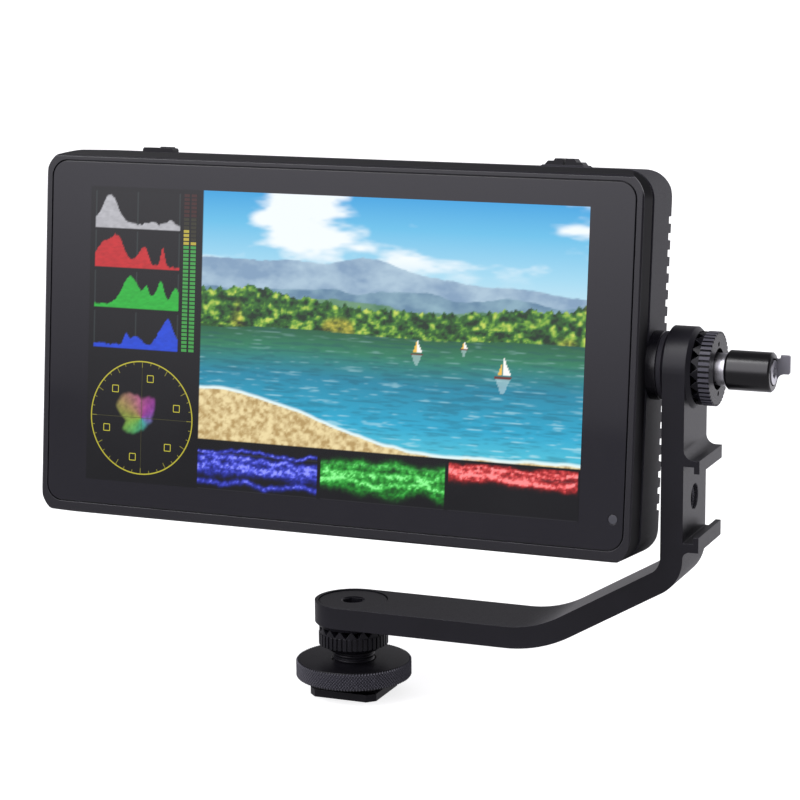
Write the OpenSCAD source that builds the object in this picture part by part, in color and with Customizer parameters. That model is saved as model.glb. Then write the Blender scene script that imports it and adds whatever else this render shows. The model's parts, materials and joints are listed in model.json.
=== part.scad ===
// Camera-top field monitor on a swivelling and tilting arm that ends in a shoe foot.
// Millimetres. Z is up, X is to the right seen from the screen side, and the screen faces -Y.
// The origin is the middle of the shoe foot's underside.

/* [Monitor body] */
// Width of the body
body_w = 158.8; // [156:0.2:166]
// Height of the body, without the chin
body_h = 92.6; // [91:0.2:98]
// How much deeper the rim below the glass is than the rim above it
chin = 1.1; // [0:0.1:2]
// Depth of the body from the glass to the back
body_d = 23.5; // [22:0.5:26]
// Radius of the body's corners seen from the front
corner_r = 7; // [5.5:0.5:8]
// Depth of the front frame, in front of the seam
frame_d = 7; // [6:0.25:8]
// How much the frame's top and bottom close in towards the lip
frame_slope = 1.3; // [0.6:0.1:1.8]
// Width of the rim at the sides of the glass
rim_side = 2; // [1.5:0.1:3]
// Width of the rim above and below the glass
rim_top = 2.9; // [2.4:0.1:4]
// Radius of the glass's corners
glass_r = 4; // [2:0.5:5]
// Width of the glass's black border at the sides of the picture
border_side = 11; // [9.5:0.1:14]
// Width of the glass's black border above and below the picture
border_top = 6.05; // [5:0.05:8]

/* [Heat-sink grooves] */
// Grooves above and below the middle on each side
groove_count = 7; // [4:1:7]
// Distance from one groove to the next
groove_pitch = 4; // [3:0.25:4]
// Height of a groove
groove_h = 1.75; // [1:0.25:2.25]
// Depth of a groove
groove_depth = 2.45; // [1.5:0.05:3]
// Distance from the middle to the first groove
groove_start = 10.85; // [10:0.05:12]
// Distance of the groove pattern's middle below the body's middle
groove_drop = 0.5; // [0:0.1:0.6]

/* [Tilt joint] */
// Height of the tilt axis above the foot's underside
tilt_z = 90; // [88:0.5:104]
// Lean of the monitor, its top going back
tilt_angle = 6.1; // [0:0.1:15]
// Distance of the tilt axis behind the glass
axis_back = 14; // [13.5:0.25:14.5]
// Thickness of the hub's flange on the body's side
flange_t = 2.7; // [2:0.1:4]
// Thickness of the friction washer
washer_t = 1.1; // [0.6:0.1:2]
// Radius of the toothed rings
ring_r = 8.9; // [8.4:0.1:9.4]
// Teeth on each crown
tooth_count = 18; // [12:1:24]
// Height of the crown's teeth
tooth_h = 1.8; // [1.4:0.1:2.2]
// Grooves of the knurl round each ring
knurl_count = 42; // [24:1:48]
// Radius of the lock screw's grip
grip_r = 4.75; // [4.65:0.05:5.6]
// Length of the lock screw's grip
grip_len = 10.8; // [9:0.2:16]

/* [Arm] */
// Width of the arm's bar
arm_w = 19.6; // [19.2:0.1:21]
// Thickness of the arm's bar
arm_t = 5.5; // [5:0.1:6.5]
// Distance of the first bend from the foot's axis
bend_x = 52.3; // [48:0.1:56]
// Height of the second bend above the arm's lower leg
bend_rise = 18.4; // [14:0.2:18.4]
// Inner radius of the first bend
bend_in_r = 28.4; // [12:0.2:30]
// Inner radius of the second bend
corner_in_r = 4.5; // [2:0.5:4.5]
// Height of the cold shoe's middle below the tilt axis
shoe_drop = 31.4; // [29:0.2:31.4]
// Width of the cold shoe's channel
shoe_w = 18.7; // [18.6:0.05:19]
// Depth of the cold shoe's channel under its lips
shoe_depth = 2.6; // [2.2:0.1:3]

/* [Foot] */
// Side of the shoe foot along the slot
foot_x = 18.2; // [18:0.1:18.5]
// Side of the shoe foot across the slot
foot_y = 17.9; // [17.6:0.1:18.4]
// Thickness of the shoe foot
foot_t = 1.9; // [1.7:0.05:2]
// Radius of the clamping wheel
wheel_r = 14.63; // [13:0.1:17]
// Thickness of the clamping wheel
wheel_t = 4.6; // [4:0.1:5]

/* [Hidden] */
$fn = 64;

// Clearances
run_gap = 0.05; // radial play of a shaft in its hole, and end play of a turning face
key_gap = 0.3; // gap round a key or slider
glass_gap = 0.35; // gap between the glass and its rim

// Monitor, measured from the tilt axis: X right, Y back, Z up
front_y = -axis_back;
back_y = body_d - axis_back;
seam_y = front_y + frame_d;
side_x = body_w/2;
top_z = body_h/2;
low_z = -top_z - chin;
glass_w = body_w - 2*rim_side;
glass_h = body_h - 2*rim_top;
glass_t = 1.1;
wall_side = 5;
wall_top = 4;
cavity_w = body_w - 2*wall_side;
cavity_h = body_h - 2*wall_top;
cavity_back_y = back_y - 4.6;
seam_w = 1.3; // width of the groove at the seam
seam_depth = 0.7;
cavity_r = 4;
screen_w = glass_w - 2*border_side;
screen_h = glass_h - 2*border_top;
panel_w = screen_w + 7;
panel_h = screen_h + 5;
panel_t = 3.2;
panel_rim = 3; // rim left round the light guide at the panel's back
screw_in = [5, 3.4]; // housing screws, in from the side and from the top
sensor_r = 1.1;
sensor_x = glass_w/2 - 2.5;
sensor_z = 7.4 - glass_h/2;

// Main board
board_w = cavity_w - 7.2;
board_h = cavity_h - 4.6;
board_t = 1.6;
board_y = cavity_back_y - 6.2; // its rear face, on the posts
post_x = board_w/2 - 12;
post_z = board_h/2 - 6.5;
notch_w = 15;
can_w = 60; // shield can
can_h = 44;
can_d = 2.2;
can_t = 0.3;
switch_w = 4; // key switches
switch_h = 3.4;
switch_d = 2.6;
nub_r = 0.8;
nub_h = 0.6;

// Sockets in the left side
socket_y = board_y + 2.8;
socket_in = 0.4; // how far a socket's mouth is let into the side
insert_r = 4.4;
insert_len = 7;
thread_r = 3.175; // quarter-inch thread
boss_half = insert_r + 1.8;
hdmi_len = 14.4;
hdmi_outer = [15, 5.6];
hdmi_inner = [13.9, 4.5];
hdmi_apart = 0.8; // between the two video sockets
hdmi_z = [for (i = [1, 0]) boss_half + 0.2 + hdmi_outer[0]/2 + i*(hdmi_outer[0] + hdmi_apart)];
tongue_h = 11.2;
tongue_t = 0.9;
tongue_in = 2;
usb_outer = [9.2, 3.4];
usb_len = 7.6;
jack_r = 1.8;
jack_len = 12;
jack_h = 6;
power_len = 12;
power_h = 9;
power_y = board_y + 2.2;
power_r = 2.85;
power_pin_r = 1;
// The three sockets below the side's thread share the free height there.
free_h = cavity_h/2 - boss_half - usb_outer[0] - jack_h - power_h;
power_z = power_h/2 + 0.3613*free_h - cavity_h/2;
jack_z = power_z + power_h/2 + jack_h/2 + 0.2941*free_h;
usb_z = jack_z + jack_h/2 + usb_outer[0]/2 + 0.2017*free_h;

// Keys
key_y = front_y + 12;
key_travel = 0.5;
key_flange_t = 0.9;
power_key_x = 26.2 - side_x;
power_key_w = 8.4;
power_key_h = 1.1;
key_depth = 3.6;
pad_x = side_x - 23.4;
pad_w = 11.2;
pad_h = 0.45;
user_key_w = 4.75;
key_inner_z = top_z - wall_top;
flange_top_z = key_inner_z - run_gap;
switch_z = flange_top_z - key_flange_t - key_travel - run_gap;

// Battery plate on the back
bay_w = 38.6; // between the rails
rail_t = 1.8;
rail_h = 3.8;
plate_w = bay_w + 2*rail_t;
plate_h = 66;
plate_t = 2.2;
plate_y = back_y + plate_t;
hook_in = 1.3;
hook_len = 5;
hook_t = 1.2;
hook_pitch = 16;
hook_low_z = 8 - plate_h/2;
rail_top_z = plate_h/2 - 11;
latch_z = plate_h/2 - 5.8;
latch_travel = 3;
groove_in_x = plate_w/2 + 3.9; // inner ends of the grooves in the back

// Tilt joint, along X from the body's side
flange_r = 8.3;
boss_h = 1;
spindle_r = 6;
hub_x = side_x + flange_t;
washer_x = hub_x + washer_t;
arm_in_x = washer_x + boss_h;
arm_out_x = arm_in_x + arm_t;
arm_face_x = arm_out_x + boss_h;
ring_band = 2.6;
ring_face_x = arm_face_x + run_gap + tooth_h + ring_band;
ring_lip = 1.4; // thickness of the ring's front, over the spindle's end
spindle_end_x = ring_face_x - ring_lip - run_gap;
ring_hole_r = 5;
spanner_r = 5.95;
spanner_hole_r = 0.6;
knurl_w = 0.54;
knurl_depth = 0.5;
shaft_r = thread_r - 0.075;
engaged = 4.5; // length of the lock shaft in the body's thread
collar_r = 3.9;
collar_end_x = ring_face_x + 2.5;
core_r = 2.2;
grip_end_x = collar_end_x + run_gap + grip_len;
cap_r = 3.2; // recess for the end cap
tab_y = 2.5; // near wall of the tab's slot
tab_t = 0.95;
tab_len = 3.2;
tab_half = 2.8;

// Foot, upwards along the swivel axis
stud_r = 5.5;
tail_r = 3;
tail_len = 1.1; // let into the foot plate
clamp_z = 3;
clamp_t = 0.95;
clamp_side = 17.6;
wheel_z = clamp_z + clamp_t + run_gap;
wheel_up = 2.5;
collar_z = wheel_z + wheel_t + wheel_up + run_gap;
collar_h = 1.5;
collar_low_r = 6.3;
collar_top_r = 8;
swivel_ring_z = collar_z + collar_h + run_gap;
swivel_band = 3.1;
arm_foot_z = swivel_ring_z + swivel_band + tooth_h + run_gap;
arm_z = arm_foot_z + boss_h;
arm_top_z = arm_z + arm_t;
disc_r = 8.8;
disc_t = 2;
disc_in = 0.2;
disc_z = arm_top_z - disc_in - disc_t;
screw_r = 4.6;
hex_r = 5/sqrt(3); // five across flats

// Arm, in side view (X, Z)
corner_z = arm_top_z + bend_rise;
slope = atan2(bend_rise, arm_in_x - bend_x);
bend_tan = bend_in_r*tan(slope/2);
corner_tan = corner_in_r*tan((90 - slope)/2);
shoe_z = tilt_z - shoe_drop;
lip_t = 1.3;
lip_len = 1.6;
ledge = shoe_depth + lip_t;
upper_t = 1.6;
upper_fillet = 2.4;
lower_t = 2.1;
lower_fillet = 1.8;

// ---------- placing and shared shapes ----------

// Puts a piece drawn from the tilt axis where the leaning monitor is.
module leaning() {
  translate([0, 0, tilt_z]) rotate([-tilt_angle, 0, 0]) children();
}

// Moves a piece to the tilt axis without leaning it.
module on_tilt_axis() {
  translate([0, 0, tilt_z]) children();
}

// Draws a front view (X, Z) and gives it depth from y0 back to y1.
module upright(y0, y1) {
  translate([0, y1, 0]) rotate([90, 0, 0]) linear_extrude(y1 - y0) children();
}

// Draws a side view (Y, Z) and gives it width from x0 to x1.
module sideways(x0, x1) {
  translate([x0, 0, 0]) rotate([90, 0, 90]) linear_extrude(x1 - x0) children();
}

// A cylinder along X from x0 to x1.
module rod(x0, x1, r) {
  translate([x0, 0, 0]) rotate([0, 90, 0]) cylinder(r = r, h = x1 - x0);
}

// A cone or cylinder along X whose radius goes from ra to rb.
module taper(x0, x1, ra, rb) {
  translate([x0, 0, 0]) rotate([0, 90, 0]) cylinder(r1 = ra, r2 = rb, h = x1 - x0);
}

// A box given by its two corners.
module block(low, high) {
  translate(low) cube(high - low);
}

module rounded(w, h, r) {
  square([w - 2*r, h], center = true);
  square([w, h - 2*r], center = true);
  for (sx = [-1, 1], sy = [-1, 1])
    translate([sx*(w/2 - r), sy*(h/2 - r)]) circle(r);
}

module cut_corners(w, h, c) {
  polygon([[c - w/2, -h/2], [w/2 - c, -h/2], [w/2, c - h/2], [w/2, h/2 - c],
    [w/2 - c, h/2], [c - w/2, h/2], [-w/2, h/2 - c], [-w/2, c - h/2]]);
}

// ---------- toothed rings ----------

// V grooves whose roots run down towards the axis, so each tooth narrows with the radius.
// The crown's tips lie in the plane z = 0 and the ring is below it.
module crown_grooves(r, h, count) {
  root_lean = atan2(h, r);
  half_w = PI*r/count - 0.12;
  for (i = [0:count - 1])
    rotate([0, 0, i*360/count]) rotate([0, root_lean, 0]) rotate([90, 0, 90])
      linear_extrude(r + 2) polygon([[0, 0], [2*half_w, 2*h], [-2*half_w, 2*h]]);
}

// Square grooves of a coarse straight knurl.
module knurl_grooves(r, z0, z1, count) {
  for (i = [0:count - 1])
    rotate([0, 0, i*360/count])
      block([r - knurl_depth, -knurl_w/2, z0], [r + 1, knurl_w/2, z1]);
}

// A ring nut with its crown up: the knurled band below, the teeth on top, tips at z = 0.
module crown_ring(r, band, bore) {
  difference() {
    union() {
      translate([0, 0, -tooth_h]) cylinder(r = r - 0.15, h = tooth_h);
      translate([0, 0, -tooth_h - band]) cylinder(r = r, h = band);
    }
    crown_grooves(r, tooth_h, tooth_count);
    knurl_grooves(r, -tooth_h - band - 1, -tooth_h, knurl_count);
    translate([0, 0, -tooth_h - band - 1]) cylinder(r = bore, h = tooth_h + band + 2);
  }
}

// ---------- foot ----------

module foot_plate() color("dimgray") {
  difference() {
    linear_extrude(foot_t) cut_corners(foot_x, foot_y, 2);
    translate([0, 0, foot_t - tail_len]) cylinder(r = tail_r, h = foot_t);
  }
}

module foot_stud() color("#2b2b2e") {
  difference() {
    union() {
      translate([0, 0, foot_t - tail_len]) cylinder(r = tail_r, h = tail_len + 1);
      translate([0, 0, foot_t]) cylinder(r = stud_r, h = collar_z - foot_t);
      translate([0, 0, collar_z]) cylinder(r1 = collar_low_r, r2 = collar_top_r, h = collar_h);
      translate([0, 0, collar_z]) cylinder(r = spindle_r, h = disc_z - collar_z);
    }
    translate([0, 0, collar_z + collar_h]) cylinder(r = screw_r, h = disc_z);
  }
}

module swivel_screw() color("#1d1d20") {
  difference() {
    union() {
      translate([0, 0, disc_z]) cylinder(r = disc_r, h = disc_t - 0.25);
      translate([0, 0, disc_z + disc_t - 0.25]) cylinder(r1 = disc_r, r2 = disc_r - 0.25, h = 0.25);
      translate([0, 0, collar_z + collar_h]) cylinder(r = screw_r - run_gap, h = disc_z - collar_z);
    }
    translate([0, 0, disc_z - 1.5]) cylinder(r = hex_r, h = disc_t + 2, $fn = 6);
    translate([0, 0, disc_z + disc_t - 0.3]) cylinder(r1 = hex_r - 0.15, r2 = hex_r + 0.25, h = 0.4);
  }
}

module clamp_plate() color("#35353a") {
  difference() {
    translate([0, 0, clamp_z]) linear_extrude(clamp_t) cut_corners(clamp_side, clamp_side, 1);
    cylinder(r = stud_r + run_gap, h = 10);
  }
}

module clamp_wheel() color("#1a1a1c") {
  rim = 0.5;
  difference() {
    translate([0, 0, wheel_z]) {
      cylinder(r1 = wheel_r - rim, r2 = wheel_r, h = rim);
      translate([0, 0, rim]) cylinder(r = wheel_r, h = wheel_t - 2*rim);
      translate([0, 0, wheel_t - rim]) cylinder(r1 = wheel_r, r2 = wheel_r - rim, h = rim);
    }
    cylinder(r = stud_r + run_gap, h = 20);
  }
}

module swivel_ring() color("#202023") {
  translate([0, 0, arm_foot_z - run_gap]) crown_ring(ring_r, swivel_band, spindle_r + run_gap);
}

// ---------- arm ----------

// Points of an arc round a centre, from one angle to another.
function arc(centre, r, a0, a1) =
  let (steps = max(6, ceil(abs(a1 - a0)/2.5)))
  [for (i = [0:steps]) centre + r*[cos(a0 + (a1 - a0)*i/steps), sin(a0 + (a1 - a0)*i/steps)]];

// The bar's side view with both bends, from the foot's axis up to the tilt axis,
// and on its outer face the two lipped ledges of the cold shoe with their fillets.
module arm_side_view() {
  low_bend = [bend_x - bend_tan, arm_top_z + bend_in_r];
  high_bend = [arm_in_x - corner_in_r, corner_z + corner_tan];
  up = shoe_z + shoe_w/2;
  down = shoe_z - shoe_w/2;
  lip_x = arm_out_x + shoe_depth;
  tip_x = lip_x + lip_t;
  polygon(concat(
    [[0, arm_z]],
    arc(low_bend, bend_in_r + arm_t, -90, slope - 90),
    arc(high_bend, corner_in_r + arm_t, slope - 90, 0),
    arc([arm_out_x + lower_fillet, down - lower_t - lower_fillet], lower_fillet, 180, 90),
    [[tip_x, down - lower_t], [tip_x, down + lip_len], [lip_x, down + lip_len], [lip_x, down],
      [arm_out_x, down], [arm_out_x, up], [lip_x, up], [lip_x, up - lip_len],
      [tip_x, up - lip_len], [tip_x, up + upper_t]],
    arc([arm_out_x + upper_fillet, up + upper_t + upper_fillet], upper_fillet, 270, 180),
    [[arm_out_x, tilt_z], [arm_in_x, tilt_z]],
    arc(high_bend, corner_in_r, 0, slope - 90),
    arc(low_bend, bend_in_r, slope - 90, -90),
    [[0, arm_top_z]]));
}

module tilt_arm() color("#26262b") {
  difference() {
    union() {
      upright(-arm_w/2, arm_w/2) arm_side_view();
      translate([0, 0, arm_z]) cylinder(r = arm_w/2, h = arm_t);
      translate([0, 0, arm_foot_z]) cylinder(r1 = ring_r, r2 = arm_w/2, h = boss_h);
      on_tilt_axis() {
        taper(washer_x + run_gap, arm_in_x, flange_r + 0.1, arm_w/2);
        rod(arm_in_x, arm_out_x, arm_w/2);
        taper(arm_out_x, arm_face_x, arm_w/2, ring_r);
      }
    }
    translate([0, 0, arm_foot_z - 1]) cylinder(r = spindle_r + run_gap, h = arm_t + 3);
    translate([0, 0, disc_z - run_gap]) cylinder(r = disc_r + 0.1, h = 10);
    on_tilt_axis() rod(washer_x - 1, arm_face_x + 1, spindle_r + run_gap);
    translate([0, 0, shoe_z]) rod(arm_in_x - 1, arm_out_x + 1, thread_r);
  }
}

// ---------- tilt joint ----------

module tilt_hub() color("#2a2a2e") {
  on_tilt_axis() difference() {
    union() {
      rod(side_x, hub_x - 0.3, flange_r);
      taper(hub_x - 0.3, hub_x, flange_r, flange_r - 0.3);
      rod(side_x, spindle_end_x, spindle_r);
    }
    rod(side_x - 1, spindle_end_x + 1, thread_r);
  }
}

module friction_washer() color("#3a3a3c") {
  on_tilt_axis() difference() {
    rod(hub_x, washer_x, flange_r);
    rod(hub_x - 1, washer_x + 1, spindle_r);
  }
}

module tilt_ring() color("#57575c") {
  on_tilt_axis() difference() {
    union() {
      translate([arm_face_x + run_gap, 0, 0]) rotate([0, -90, 0])
        crown_ring(ring_r, ring_band, spindle_r + run_gap);
      rod(spindle_end_x + run_gap, ring_face_x, spindle_r + 0.2);
    }
    rod(spindle_end_x, ring_face_x + 1, ring_hole_r);
    for (sz = [-1, 1])
      translate([0, 0, sz*spanner_r]) rod(ring_face_x - 0.8, ring_face_x + 1, spanner_hole_r);
  }
}

module lock_shaft() color("silver") {
  on_tilt_axis() {
    rod(side_x - engaged, spindle_end_x + run_gap, shaft_r);
    rod(spindle_end_x + run_gap, collar_end_x - 0.3, collar_r);
    taper(collar_end_x - 0.3, collar_end_x, collar_r, collar_r - 0.3);
    rod(collar_end_x, grip_end_x - 1.5, core_r);
  }
}

module lock_grip() color("#151517") {
  on_tilt_axis() difference() {
    union() {
      taper(collar_end_x + run_gap, collar_end_x + run_gap + 0.4, grip_r - 0.4, grip_r);
      rod(collar_end_x + run_gap + 0.4, grip_end_x - 0.4, grip_r);
      taper(grip_end_x - 0.4, grip_end_x, grip_r, grip_r - 0.4);
    }
    rod(collar_end_x, grip_end_x - 1.2, core_r + run_gap);
    rod(grip_end_x - 0.8, grip_end_x + 1, cap_r);
    block([grip_end_x - 2, tab_y, -tab_half - 0.05], [grip_end_x + 1, tab_y + tab_t, tab_half + 0.05]);
  }
}

module lock_cap() color("silver") {
  on_tilt_axis() difference() {
    rod(grip_end_x - 0.8, grip_end_x + 0.2, cap_r - 0.3);
    block([grip_end_x - 2, tab_y - 0.02, -5], [grip_end_x + 1, 5, 5]);
    translate([grip_end_x - 0.5, 0, 0]) rotate([0, 90, 0]) cylinder(r = 1.5, h = 2, $fn = 6);
  }
}

// The finger tab at the far side of the grip's end: its foot is let into the grip and
// its lower edge runs out to the tip in a hollow curve.
module lock_tab() color("gray") {
  on_tilt_axis() translate([grip_end_x, 0, 0])
    upright(tab_y + 0.05, tab_y + tab_t - 0.05)
      polygon(concat(
        [[-1.95, tab_half], [-1.95, -tab_half]],
        arc([tab_half - 0.75, -tab_half], tab_half - 0.8, 180, 90),
        [[tab_len - 0.3, -0.8], [tab_len, -0.5], [tab_len, 3.4], [tab_len - 0.3, 3.7],
          [1, 3.7], [0.9, 3], [0.4, tab_half]]));
}

// ---------- monitor shell ----------

// The body's outline as three views, closed in towards the lip in front.
module shell(y0, y1, slope_z, bevel_front, bevel_back) {
  intersection() {
    upright(y0, y1) translate([0, -chin/2]) rounded(body_w, body_h + chin, corner_r);
    sideways(-side_x, side_x)
      polygon([[y0, slope_z + bevel_front + low_z], [y0 + bevel_front, slope_z + low_z],
        [y1 - bevel_back, low_z], [y1, bevel_back + low_z],
        [y1, top_z - bevel_back], [y1 - bevel_back, top_z],
        [y0 + bevel_front, top_z - slope_z], [y0, top_z - slope_z - bevel_front]]);
    translate([0, 0, low_z]) linear_extrude(body_h + chin)
      polygon([[bevel_front - side_x, y0], [side_x - bevel_front, y0], [side_x, y0 + bevel_front],
        [side_x, y1 - bevel_back], [side_x - bevel_back, y1],
        [bevel_back - side_x, y1], [-side_x, y1 - bevel_back], [-side_x, y0 + bevel_front]]);
  }
}

module screw_places() {
  for (sx = [-1, 1], sz = [-1, 1])
    translate([sx*(side_x - screw_in[0]), 0, sz*(top_z - screw_in[1])]) children();
}

module front_frame() color("#2c2c30") {
  leaning() difference() {
    shell(front_y, seam_y, frame_slope, 0.4, 0.15);
    upright(front_y - 1, front_y + glass_t)
      rounded(glass_w + 2*glass_gap, glass_h + 2*glass_gap, glass_r + glass_gap);
    upright(front_y, seam_y + 1) rounded(cavity_w, cavity_h, cavity_r);
    screw_places() rotate([90, 0, 0]) translate([0, 0, -seam_y - 1]) cylinder(r = 1, h = 5);
  }
}

module touch_glass() color("#1b1b20") {
  leaning() difference() {
    upright(front_y, front_y + glass_t) rounded(glass_w, glass_h, glass_r);
    translate([sensor_x, 0, sensor_z]) upright(front_y - 1, front_y + 3) circle(sensor_r + 0.1);
  }
}

module light_sensor() color("gray") {
  leaning() translate([sensor_x, 0, sensor_z])
    upright(front_y + 0.05, front_y + glass_t) circle(sensor_r);
}

module display_panel() color("#30506a") {
  leaning() difference() {
    upright(front_y + glass_t, front_y + glass_t + panel_t) rounded(panel_w, panel_h, 1);
    upright(front_y + glass_t + panel_t - 0.8, front_y + 9)
      rounded(panel_w - 2*panel_rim, panel_h - 2*panel_rim, 1);
  }
}

// ---------- rear housing ----------

module grooves() {
  for (sx = [-1, 1], sz = [-1, 1], i = [0:groove_count - 1])
    scale([sx, 1, 1]) translate([0, 0, sz*(groove_start + groove_pitch*i) - groove_drop]) {
      block([groove_in_x, back_y - groove_depth, -groove_h/2],
        [side_x + 1, back_y + 1, groove_h/2]);
      translate([groove_in_x, 0, 0]) upright(back_y - groove_depth, back_y + 1)
        circle(groove_h/2);
    }
}

module key_slot(x, w) {
  block([x - w/2 - key_gap/2, key_y - key_depth/2 - key_gap/2, key_inner_z - 1],
    [x + w/2 + key_gap/2, key_y + key_depth/2 + key_gap/2, top_z + 2]);
}

module user_pad() {
  upright(key_y - key_depth/2 - 1.4, key_y + key_depth/2 + 1.4)
    polygon([[pad_x - pad_w/2, top_z - 1], [pad_x - pad_w/2, top_z],
      [pad_x - pad_w/2 + 0.6, top_z + pad_h], [pad_x + pad_w/2 - 0.6, top_z + pad_h],
      [pad_x + pad_w/2, top_z], [pad_x + pad_w/2, top_z - 1]]);
}

module socket_cuts() {
  out = -side_x - 1;
  in = 1 - cavity_w/2;
  for (z = hdmi_z)
    translate([0, socket_y, z]) sideways(out, in)
      square([hdmi_outer[1] + 0.4, hdmi_outer[0] + 0.4], center = true);
  translate([0, board_y + usb_outer[1]/2, usb_z]) sideways(out, in)
    rounded(usb_outer[1] + 0.3, usb_outer[0] + 0.3, 1.8);
  translate([0, socket_y, jack_z]) rod(out, in, 2.9);
  translate([0, power_y, power_z]) rod(out, in, 3.7);
}

module rear_housing() color("#55555a") {
  leaning() difference() {
    union() {
      difference() {
        union() {
          shell(seam_y + seam_w, back_y, 0, 0.15, 0.6);
          upright(seam_y, seam_y + seam_w + 1) translate([0, -chin/2])
            rounded(body_w - 2*seam_depth, body_h + chin - 2*seam_depth, corner_r - seam_depth);
          user_pad();
        }
        upright(seam_y - 1, cavity_back_y) rounded(cavity_w, cavity_h, cavity_r);
      }
      for (sx = [-1, 1])
        scale([sx, 1, 1]) block([side_x - insert_len - 1.2, seam_y + 1, -boss_half],
          [side_x - 1, cavity_back_y + 1, boss_half]);
      block([-boss_half, seam_y + 1, low_z + 1], [boss_half, cavity_back_y + 1,
        low_z + insert_len + 1.2]);
      for (sx = [-1, 1], sz = [-1, 1])
        translate([sx*post_x, 0, sz*post_z]) upright(board_y, cavity_back_y + 1) circle(2.6);
    }
    grooves();
    socket_cuts();
    key_slot(power_key_x, power_key_w);
    key_slot(pad_x, 2*user_key_w + key_gap);
    for (sx = [-1, 1])
      scale([sx, 1, 1]) rod(side_x - insert_len, side_x + 1, insert_r);
    translate([0, 0, low_z - 1]) cylinder(r = insert_r, h = insert_len + 1);
    for (sx = [-1, 1], sz = [-1, 1])
      translate([sx*post_x, 0, sz*post_z]) upright(board_y - 1, cavity_back_y) circle(1);
    screw_places() upright(seam_y - 1, back_y - 1) circle(1.05);
    screw_places() upright(back_y - 1.6, back_y + 1) circle(1.9);
  }
}

module thread_inserts() color("goldenrod") {
  leaning() {
    difference() {
      rod(side_x - insert_len, side_x, insert_r);
      rod(side_x - insert_len - 1, side_x + 1, thread_r);
    }
    difference() {
      rod(-side_x, insert_len - side_x, insert_r);
      rod(-side_x - 1, insert_len - side_x + 1, thread_r);
    }
    difference() {
      translate([0, 0, low_z]) cylinder(r = insert_r, h = insert_len);
      translate([0, 0, low_z - 1]) cylinder(r = thread_r, h = insert_len + 2);
    }
  }
}

module housing_screws() color("#1f1f22") {
  leaning() screw_places() {
    difference() {
      upright(back_y - 1.6, back_y - 0.2) circle(1.8);
      upright(back_y - 1, back_y) circle(0.8, $fn = 6);
    }
    upright(seam_y - 3.5, back_y - 1.6) circle(0.95);
  }
}

// ---------- inside ----------

module main_board() color("darkgreen") {
  leaning() difference() {
    upright(board_y - board_t, board_y) difference() {
      square([board_w, board_h], center = true);
      translate([0, -board_h/2]) square([notch_w, 12], center = true);
      translate([-board_w/2, power_z]) square([11, 10.4], center = true);
      for (sx = [-1, 1], sz = [-1, 1]) translate([sx*post_x, sz*post_z]) circle(1.1);
    }
  }
}

module shield_can() color("silver") {
  leaning() difference() {
    upright(board_y - board_t - can_d, board_y - board_t) square([can_w, can_h], center = true);
    upright(board_y - board_t - can_d + can_t, board_y)
      square([can_w - 2*can_t, can_h - 2*can_t], center = true);
  }
}

module board_screws() color("silver") {
  leaning() for (sx = [-1, 1], sz = [-1, 1])
    translate([sx*post_x, 0, sz*post_z]) {
      upright(board_y - board_t - 1.2, board_y - board_t) circle(2);
      upright(board_y - board_t, board_y + 4) circle(0.95);
    }
}

module key_switches() color("dimgray") {
  leaning() for (x = [power_key_x, pad_x - user_key_w/2 - 0.15, pad_x + user_key_w/2 + 0.15]) {
    block([x - switch_w/2, board_y, switch_z - nub_h - switch_h],
      [x + switch_w/2, board_y + switch_d, switch_z - nub_h]);
    translate([x, board_y + switch_d/2, switch_z - nub_h]) cylinder(r = nub_r, h = nub_h);
  }
}

module hdmi_sockets() color("silver") {
  leaning() for (z = hdmi_z)
    translate([0, socket_y, z]) {
      difference() {
        sideways(socket_in - side_x, hdmi_len - side_x)
          square([hdmi_outer[1], hdmi_outer[0]], center = true);
        sideways(-side_x, hdmi_len - side_x - tongue_in)
          square([hdmi_inner[1], hdmi_inner[0]], center = true);
      }
      block([tongue_in - side_x, 0.2, -tongue_h/2],
        [hdmi_len - side_x - tongue_in/2, 0.2 + tongue_t, tongue_h/2]);
    }
}

module usb_socket() color("silver") {
  leaning() translate([0, board_y + usb_outer[1]/2, usb_z]) {
    difference() {
      sideways(socket_in - side_x, usb_len - side_x) rounded(usb_outer[1], usb_outer[0], 1.6);
      sideways(-side_x, usb_len - 1.2 - side_x)
        rounded(usb_outer[1] - 0.7, usb_outer[0] - 0.7, 1.3);
    }
    block([1.6 - side_x, -0.35, 1.3 - usb_outer[0]/2],
      [usb_len - 0.6 - side_x, 0.35, usb_outer[0]/2 - 1.3]);
  }
}

module phone_jack() color("#2b2b2b") {
  leaning() translate([0, socket_y, jack_z]) difference() {
    union() {
      rod(0.1 - side_x, 6 - side_x, 2.8);
      block([wall_side + 0.3 - side_x, -2.8, -jack_h/2], [jack_len + 1 - side_x, 2.8, jack_h/2]);
    }
    rod(-side_x - 1, jack_len - side_x, jack_r);
  }
}

module power_socket() color("#242424") {
  leaning() translate([0, power_y, power_z]) {
    difference() {
      union() {
        rod(0.1 - side_x, 6 - side_x, 3.6);
        block([wall_side + 0.3 - side_x, -3.8, -power_h/2],
          [power_len + 1.4 - side_x, 3.8, power_h/2]);
      }
      rod(-side_x - 1, power_len - side_x, power_r);
    }
    rod(1.4 - side_x, power_len + 0.4 - side_x, power_pin_r);
  }
}

// ---------- battery plate ----------

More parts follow.
